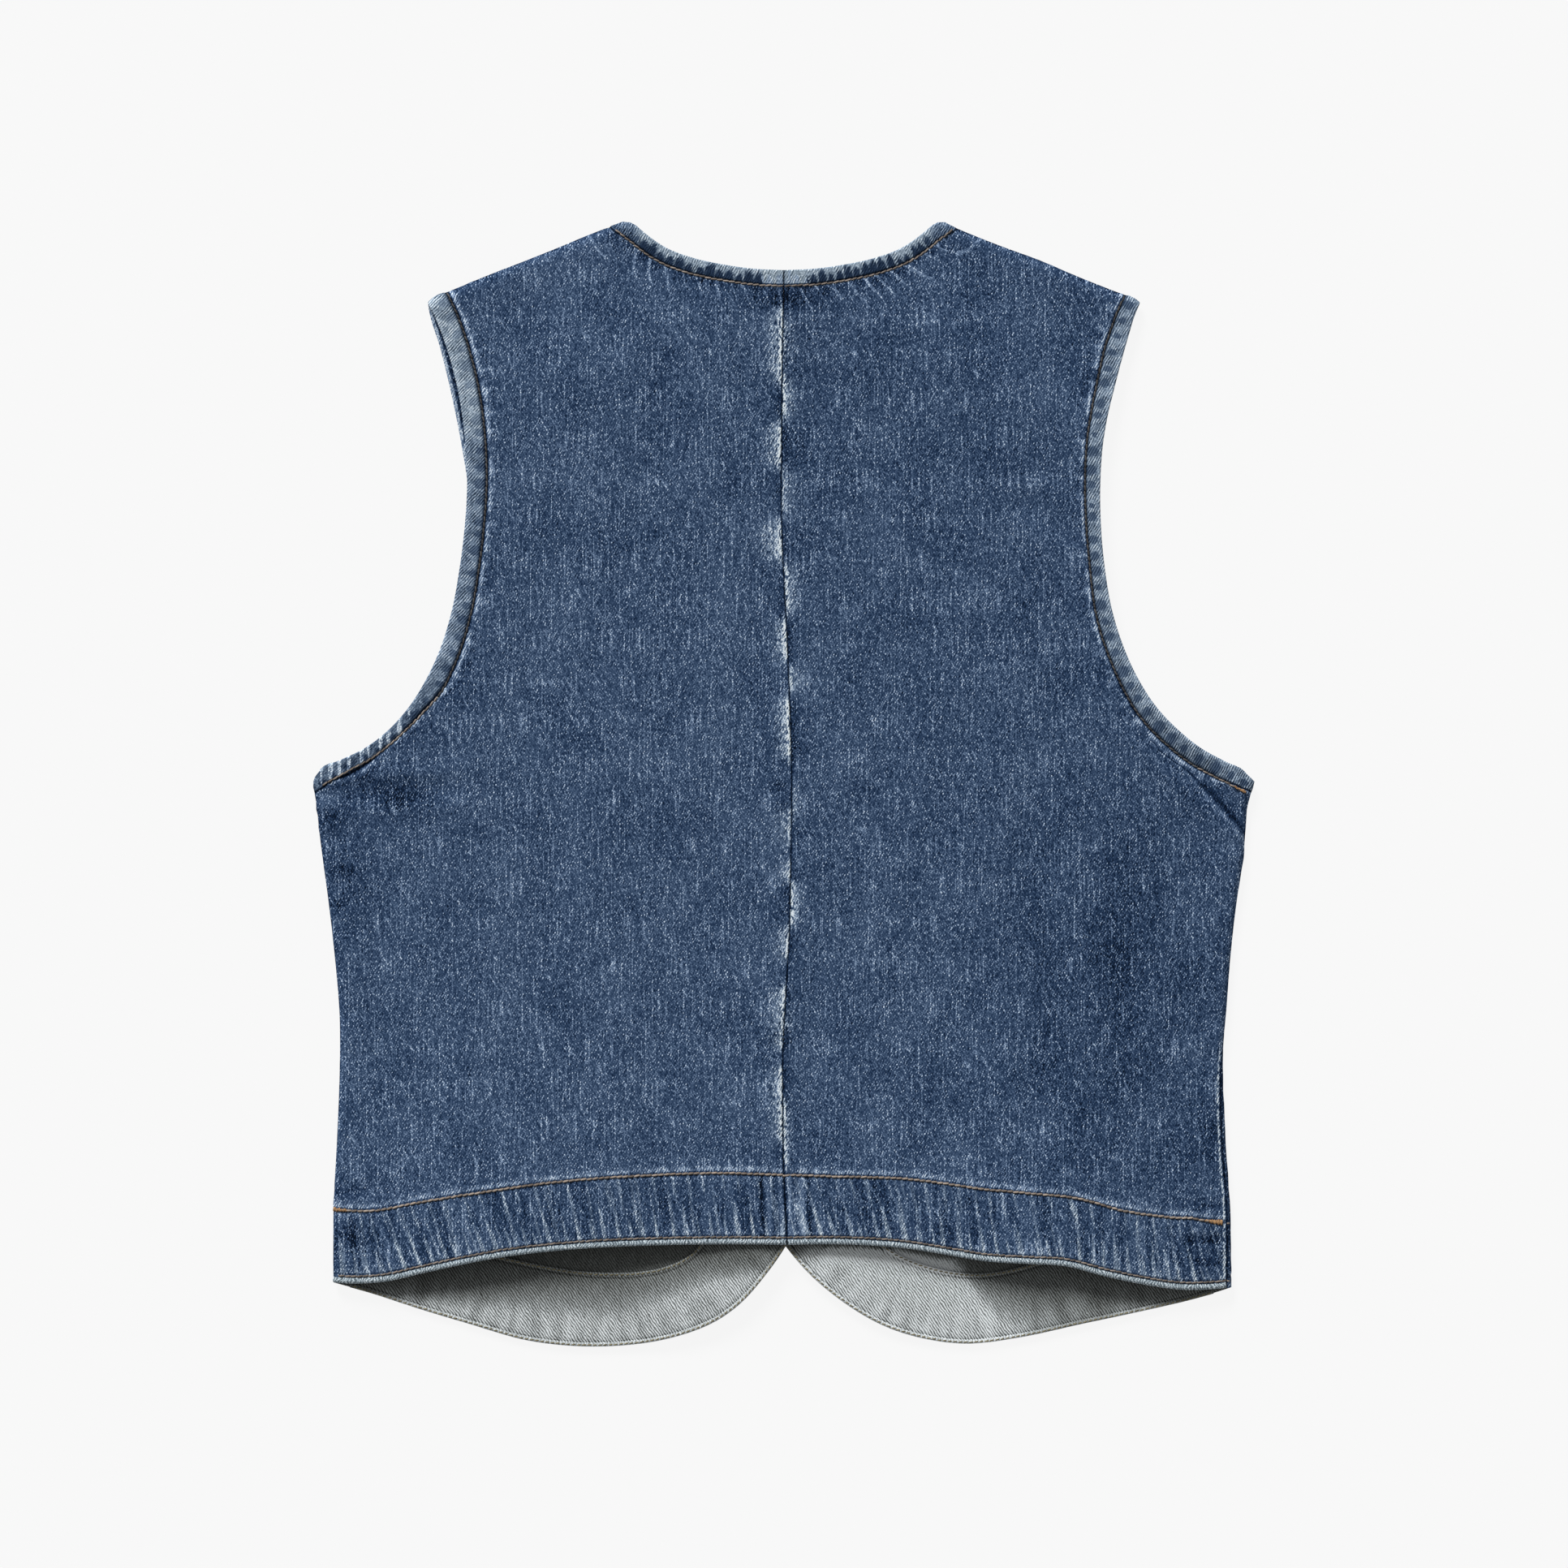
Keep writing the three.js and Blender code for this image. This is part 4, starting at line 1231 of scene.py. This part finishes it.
def pulled(face, seam, other):
    """Moves the cloth near a seam half way to the other panel's edge: the CAD leaves a gap there."""
    seam, other = thin(seam, 90), thin(other, 400)
    nearest = np.linalg.norm(seam[:, None] - other, axis=2).argmin(axis=1)
    reach = other[nearest] - seam
    gap, run = from_line(face, seam)
    share = 0.5 * smooth(4 * MM, 0, gap)
    moved = face.copy()
    for k in range(3):
        moved[..., k] += share * np.interp(run, lengths(seam), reach[:, k])
    return moved


def panel_faces():
    """The faces of the four panels, with their seams closed."""
    faces = {}
    for side in SIDES:
        for kind, up in (("back", 1), ("front", -1)):
            faces[kind, side] = fine_grid(cad_grid(kind + "_" + side, kind, side, up), STEP[kind])
    lines = {key: panel_lines(face) for key, face in faces.items()}
    closed = {}
    for (kind, side), face in faces.items():
        other = lines["front" if kind == "back" else "back", side]
        for name in ("side", "shoulder"):
            face = pulled(face, lines[kind, side][name], other[name])
        if kind == "back":
            face = pulled(face, lines[kind, side]["centre"], lines[kind, OTHER[side]]["centre"])
        closed[kind, side] = face
    return closed


def hem_shade(face, back_hem):
    """How much of its lightness the cloth below the back's hem keeps: it is dim and less worn there."""
    x, y = face[..., 0], face[..., 1]
    below = np.interp(x, back_hem[:, 0], back_hem[:, 1]) - y
    share = np.clip(below / table(SHADE_REACH, x), 0, 1)
    lit = smooth(1 * MM, 3 * MM, below) * smooth(11 * MM, 6 * MM, below) * smooth(92 * MM, 76 * MM, x)
    lit = lit * (0.4 * smooth(8 * MM, 25 * MM, x) + 0.15 * smooth(48 * MM, 57 * MM, x))
    return (0.53 + 0.47 * share**2.6) * (1 + 0.05 * np.sign(x)) * (1 + lit)


def finished(piece, node):
    """Says which CAD piece a sheet stands for, and how it was cut: flat size and flat area."""
    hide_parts(node)
    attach(piece, "root")


def make_back(side, face):
    """A back panel, its face up. Gives that face and its border, for the stitching."""
    node = "back_" + side
    lines = panel_lines(face)
    relief, fields = back_relief(face, lines, side)
    (neck, neck_run), (arm, arm_run), (hem, hem_run) = (fields[key] for key in ("neck", "armhole", "hem"))
    centre, seam = fields["centre"][0], fields["side"][0]
    depth = table(HEM_DEPTH, face[..., 0])
    wall = DENIM + (HEM_WALL - DENIM) * smooth(depth + 1 * MM, depth - 1 * MM, hem)
    width = table(ARMHOLE_DEPTH[side], face[..., 1])
    bands = {"neck": neck / NECK_BAND, "arm": arm / width, "hem": hem / depth}
    inside = np.full(depth.shape, INSIDE)
    piece, top = cloth(node, face, 1, wall, relief, DENIMS, zone_map(bands), inside)
    cream = seam_wear(face, centre, side)
    if side == "right":
        low = smooth(-120 * MM, -140 * MM, face[..., 1])
        cream += 0.8 * low * bell(seam, 1.5 * MM, 0.6 * MM)
    shoulder = from_line(face, thin(lines["shoulder"], 30))[0]
    dim = 0.07 * seam_wear(face, centre / 1.7, OTHER[side]) + 0.08 * smooth(3 * MM, 0, shoulder)
    mark(
        piece,
        neck_band=bands["neck"],
        arm_band=bands["arm"],
        hem_band=bands["hem"],
        neck_run=neck_run + SHIFT[side],
        arm_run=arm_run + SHIFT[side],
        hem_run=hem_run + SHIFT[side],
        centre_gap=centre,
        seam_gap=seam,
        fold_gap=fold_gap(face),
        cream=cream,
        shade=shades(face) - dim,
        hem_shade=np.ones_like(depth),
    )
    finished(piece, node)
    return top, lines


def make_front(side, face, back_hem):
    """A front panel, its face down. Gives that face and its border, for the stitching."""
    node = "front_" + side
    face[..., 2] = np.maximum(face[..., 2], 0)
    lines = panel_lines(face)
    hem, hem_run = from_line(face, thin(lines["hem"], 60))
    centre, centre_run = from_line(face, thin(np.concatenate([lines["centre"], lines["neck"]]), 90))
    arm, arm_run = from_line(face, thin(lines["armhole"], 70))
    seam, seam_run = from_line(face, thin(lines["side"], 70))
    edge = np.minimum(hem, centre)
    x, y = face[..., 0], face[..., 1]
    relief = -0.35 * MM * bell(edge, FRONT_TOPSTITCH, 0.9 * MM)
    relief -= 0.3 * MM * bell(arm, FRONT_ARMHOLE, 0.9 * MM)
    inwards = smooth(8 * MM, 40 * MM, np.minimum(edge, arm))
    relief -= 0.25 * MM * (1 + ripple(x, y, 66 * MM, 31)) * inwards
    relief -= 0.2 * MM * (1 + ripple(seam_run, seam, 23 * MM, 32)) * np.exp(-seam / (13 * MM))
    bands = {"neck": edge / FRONT_TOPSTITCH, "arm": arm / FRONT_ARMHOLE}
    inside = np.where(arm < FRONT_ARMHOLE, 0, INSIDE)
    piece, bottom = cloth(node, face, -1, DENIM, relief, DENIMS, zone_map(bands), inside)
    strip = (0.14 - 0.28 * smooth(1.4 * MM, 2.0 * MM, arm)) * (arm < FRONT_ARMHOLE)
    mark(
        piece,
        neck_band=bands["neck"],
        arm_band=bands["arm"],
        neck_run=centre_run + hem_run + SHIFT[side],
        arm_run=arm_run + SHIFT[side],
        centre_gap=np.full_like(edge, FAR),
        seam_gap=seam,
        fold_gap=np.full_like(edge, FAR),
        cream=0.35 * smooth(2.2 * MM, 1.2 * MM, arm),
        shade=strip - 0.08 * smooth(8 * MM, 2 * MM, seam),
        hem_shade=hem_shade(face, back_hem),
    )
    finished(piece, node)
    return bottom, lines


def make_facing(side, back_hem):
    """The facing inside a front, its weft side up. Gives that side, for the stitching."""
    node = "front_facing_" + side
    grid = cad_grid(node, "facing", side, 1)
    face = fine_grid(grid, STEP["facing"], near_first=14, near_last=8, panel=False)
    outwards = face[:, 0] - face[:, 4]
    outwards[:, 2] = 0
    outwards /= np.linalg.norm(outwards, axis=1, keepdims=True)
    gap = np.linalg.norm(face - face[:, :1], axis=2)
    face += FACING_REACH * smooth(12 * MM, 0, gap)[..., None] * outwards[:, None]
    edge, run = from_line(face, thin(face[:, 0], 140))
    inner, _ = from_line(face, thin(face[:, -1], 120))
    between = smooth(26 * MM, 4 * MM, edge) * smooth(2 * MM, 5 * MM, edge)
    relief = 0.2 * MM * ripple(run, edge, 7 * MM, 21) * between
    relief -= 0.25 * MM * bell(edge, FACING_ROWS["edge"], 0.7 * MM)
    relief -= 0.2 * MM * bell(inner, FACING_ROWS["inner"], 0.7 * MM)
    relief += 0.2 * MM * smooth(2.2 * MM, 1.4 * MM, edge)
    zones = np.zeros(edge.shape, np.int32)
    materials = [FACING_CLOTH, DENIMS[0]]
    piece, top = cloth(node, face, 1, FACING, relief, materials, zones, zones + 1)
    far = np.full_like(edge, FAR)
    mark(
        piece,
        edge_gap=edge,
        inner_gap=inner,
        edge_run=run + SHIFT[side],
        hem_shade=hem_shade(face, back_hem),
        centre_gap=far,
        seam_gap=far,
        fold_gap=far,
    )
    finished(piece, node)
    return top


# Stitching


def sew(name, colour, seed, surface, rows, **how):
    """Rows of stitches as one piece."""
    thread = Thread(seed)
    for row in rows:
        thread.run(row, surface, **how)
    thread.made(name, colour)


def sew_back(side, top, lines):
    """Topstitching of the back, and the backtacks at its ends."""
    surface, sign, midst = Surface(top), SIGN[side], MIDST[side]
    armhole, hem, neck = lines["armhole"], lines["hem"], lines["neck"]
    arm_row = inset(armhole, table(ARMHOLE_DEPTH[side], armhole[:, 1]), midst)
    arm_row = carried_on(arm_row, cut=9 * MM, reach=13 * MM)
    neck_row = carried_on(inset(neck, NECK_BAND, midst)[::-1], cut=1 * MM, reach=6 * MM)
    hem_row = inset(hem, table(HEM_DEPTH, hem[:, 0]), midst)
    turn = int(np.abs(arm_row[:, 1] - BROWN_BELOW[side]).argmin())
    brown = [neck_row, inset(hem, HEM_ROW, midst), arm_row[: turn + 1]]
    sew("hem_stitching_" + side, "tan", 31 + sign, surface, [hem_row], radius=HEM_THREAD)
    sew("edge_stitching_" + side, "brown", 41 + sign, surface, brown)
    sew("armhole_stitching_" + side, "dark", 45 + sign, surface, [arm_row[turn:]])
    tacks = Thread(51 + sign)
    rows = {"hem": hem_row[::-1], "armhole": arm_row}
    for name, start, stop, widths in TACKS[side]:
        row = rows[name]
        run = lengths(row[:, :2])
        ends = [[np.interp(place * MM, run, row[:, k]) for k in (0, 1)] for place in (start, stop)]
        tacks.tack(*ends, surface, [width * MM for width in widths])
    tacks.made("backtacks_" + side, "orange")


def sew_round(side, bottom, lines):
    """Where the back's hem stitching goes on over the side seam, which lies a little inside the edge."""
    surface = Surface(bottom)
    seam = lines["side"]
    thread = Thread(55)
    for height in (SIDE_HEM_DEPTH, HEM_ROW):
        x, y = (np.interp(height, lengths(seam), seam[:, k]) for k in (0, 1))
        level = np.abs(bottom[..., 1] - y) < 2 * MM
        edge = SIGN[side] * (np.abs(bottom[level][:, 0]).max() - 0.5 * MM)
        (start, normal), (end, _) = surface.at(x, y), surface.at(edge, y)
        thread.stitch(start, end, normal, 0.55 * MM)
    thread.made("side_stitching_" + side, "brown")


def sew_front(side, bottom, lines):
    """Topstitching on the outside of a front, which faces the floor."""
    edge = np.concatenate([lines["hem"][::-1], lines["centre"][1:], lines["neck"][1:]])
    rows = [
        shortened(inset(line, gap, MIDST[side]), 4 * MM)
        for line, gap in ((edge, FRONT_TOPSTITCH), (lines["armhole"], FRONT_ARMHOLE))
    ]
    sew("topstitching_front_" + side, "tan", 61 + SIGN[side], Surface(bottom, up=-1), rows)


def sew_facing(side, face):
    """The rows that show on a facing: beside the front's edge and along its own inner edge."""
    rows = []
    for first, other, gap in (
        (face[:, 0], face[:, 2], FACING_ROWS["edge"]),
        (face[:, -1], face[:, -2], FACING_ROWS["inner"]),
    ):
        way = other - first
        way /= np.linalg.norm(way, axis=1, keepdims=True)
        rows.append(shortened(first + way * gap, 2 * MM))
    fine = {"pitch": 2.6 * MM, "gap": 0.7 * MM, "radius": 0.3 * MM}
    sew("stitching_facing_" + side, "olive", 71 + SIGN[side], Surface(face), rows, **fine)


# Buttons


def button_profile(low, high):
    """Radius and height from the floor of points round half of a button's section."""
    radius, base, top = (high.x - low.x) / 2, low.z, high.z
    dish = [
        (0.0, base + BUTTON_DISH),
        (0.55 * radius, base + BUTTON_DISH),
        (0.68 * radius, base + 0.6 * BUTTON_DISH),
    ]
    rounding = 0.9 * MM
    rim = [
        (radius - rounding + rounding * math.sin(angle), base + rounding - rounding * math.cos(angle))
        for angle in np.linspace(-1.2, 1.3, 9)
    ]
    back = [
        (radius, base + 1.5 * MM),
        (radius - 0.4 * MM, top - 0.25 * MM),
        (radius - 1.1 * MM, top),
        (0.0, top),
    ]
    return dish + rim + back


def lathe(profile, centre, segments):
    """A closed body of revolution about a vertical axis; its profile starts and ends on the axis."""
    points = [(centre[0], centre[1], profile[0][1])]
    for radius, height in profile[1:-1]:
        for k in range(segments):
            angle = 2 * math.pi * k / segments
            x, y = centre[0] + radius * math.cos(angle), centre[1] + radius * math.sin(angle)
            points.append((x, y, height))
    points.append((centre[0], centre[1], profile[-1][1]))
    faces = []
    rings = len(profile) - 2
    for k in range(segments):
        after = (k + 1) % segments
        faces.append((0, 1 + after, 1 + k))
        for r in range(rings - 1):
            a, b = 1 + r * segments + k, 1 + r * segments + after
            faces.append((a, b, b + segments, a + segments))
        last = 1 + (rings - 1) * segments
        faces.append((last + k, last + after, len(points) - 1))
    return points, faces


def make_button(node, material):
    """A sewn-through button, its face down: a dished disc with four holes."""
    low, high = (Vector(corner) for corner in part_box(node))
    middle = (low + high) / 2
    points, faces = lathe(button_profile(low, high), middle, segments=48)
    piece = mesh_object(node + "_resin", points, faces, material)
    drills = []
    for dx, dy in ((-1, -1), (-1, 1), (1, -1), (1, 1)):
        at = (middle.x + dx * HOLE_OFFSET, middle.y + dy * HOLE_OFFSET)
        start, end = low.z - 1 * MM, high.z + 1 * MM
        profile = [(0, start), (HOLE_RADIUS, start), (HOLE_RADIUS, end), (0, end)]
        drill = mesh_object("drill", *lathe(profile, at, segments=20), material)
        cut = piece.modifiers.new("hole", "BOOLEAN")
        cut.object = drill
        cut.operation = "DIFFERENCE"
        drills.append(drill)
    cut_mesh = bpy.data.meshes.new_from_object(piece.evaluated_get(bpy.context.evaluated_depsgraph_get()))
    piece.modifiers.clear()
    piece.data = cut_mesh
    for drill in drills:
        bpy.data.objects.remove(drill)
    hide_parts(node)
    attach(piece, "root")
    return middle, low.z


def sew_buttons(material, bottom):
    """The five buttons, the thread through their holes, and their buttonholes in the right front."""
    surface = Surface(bottom, up=-1)
    cross = Thread(81)
    holes = Thread(82)
    down = np.array((0, 0, -1.0))
    for k in range(1, BUTTON_COUNT + 1):
        middle, floor = make_button("button_" + str(k), material)
        for dx in (-1, 1):
            for jog in (-0.3, 0.3):
                x = middle.x + dx * HOLE_OFFSET + jog * MM
                z = floor + BUTTON_DISH
                start, end = (np.array((x, middle.y + dy * HOLE_OFFSET, z)) for dy in (-1, 1))
                cross.stitch(start, end, down, 0.3 * MM)
        for dy in (-1, 1):
            y = middle.y + dy * 1.1 * MM
            ends = [(middle.x + share * BUTTONHOLE, y) for share in (-0.35, 0.65)]
            holes.tack(*ends, surface, (1.7 * MM, 1.7 * MM))
    cross.made("button_thread", "tan")
    holes.made("buttonhole_stitching", "tan")


# Floor and light


def stage():
    signs = ((-1, -1), (1, -1), (1, 1), (-1, 1))
    corners = [(x * FLOOR_HALF, y * FLOOR_HALF, FLOOR_LEVEL) for x, y in signs]
    finish = Finish("lit floor")
    finish.set(Base_Color=(*[FLOOR_ALBEDO] * 3, 1), Roughness=1.0)
    finish.set(Emission_Color=(1, 1, 1, 1), Emission_Strength=FLOOR_GLOW)
    floor = mesh_object("floor", corners, [(0, 1, 2, 3)], finish.material)
    world = bpy.data.worlds.new("studio")
    world.use_nodes = True
    sky = world.node_tree.nodes["Background"].inputs
    sky["Color"].default_value = (1, 1, 1, 1)
    sky["Strength"].default_value = SKY
    bpy.context.scene.world = world
    sun = bpy.data.lights.new("window", "SUN")
    sun.energy = SUN
    sun.angle = math.radians(SUN_SIZE)
    lamp = bpy.data.objects.new("window", sun)
    lamp.rotation_euler = (math.radians(-SUN_TILT), 0, math.radians(SUN_TURN))
    bpy.context.collection.objects.link(lamp)
    bpy.context.scene.view_settings.view_transform = "Standard"


place_camera()
stage()

# The looks of the panels' cloth, in the order of zone_map's numbers, and the number of their inside
DENIMS = [
    denim_material("denim"),
    denim_material("denim at the neck", neck_look),
    denim_material("denim at the armhole", armhole_look),
    denim_material("denim at the hem", hem_look),
    inside_material(),
]
INSIDE = 4
FACING_CLOTH = facing_material()
THREADS = {
    name: thread_material(name + " thread", dark, light)
    for name, dark, light in (
        ("tan", (46, 38, 34), (180, 166, 153)),
        ("brown", (40, 35, 32), (164, 152, 142)),
        ("dark", (24, 26, 32), (92, 90, 88)),
        ("orange", (70, 50, 36), (190, 150, 108)),
        ("olive", (84, 78, 56), (160, 150, 118)),
    )
}

panels = panel_faces()
back_hem = np.concatenate([panels["back", "left"][0][::-1], panels["back", "right"][0]])
for side in SIDES:
    top, back_lines = make_back(side, panels["back", side])
    bottom, front_lines = make_front(side, panels["front", side], back_hem)
    facing_top = make_facing(side, back_hem)
    sew_back(side, top, back_lines)
    sew_front(side, bottom, front_lines)
    sew_facing(side, facing_top)
    if side == "right":
        sew_round(side, bottom, front_lines)
        sew_buttons(resin_material(), bottom)
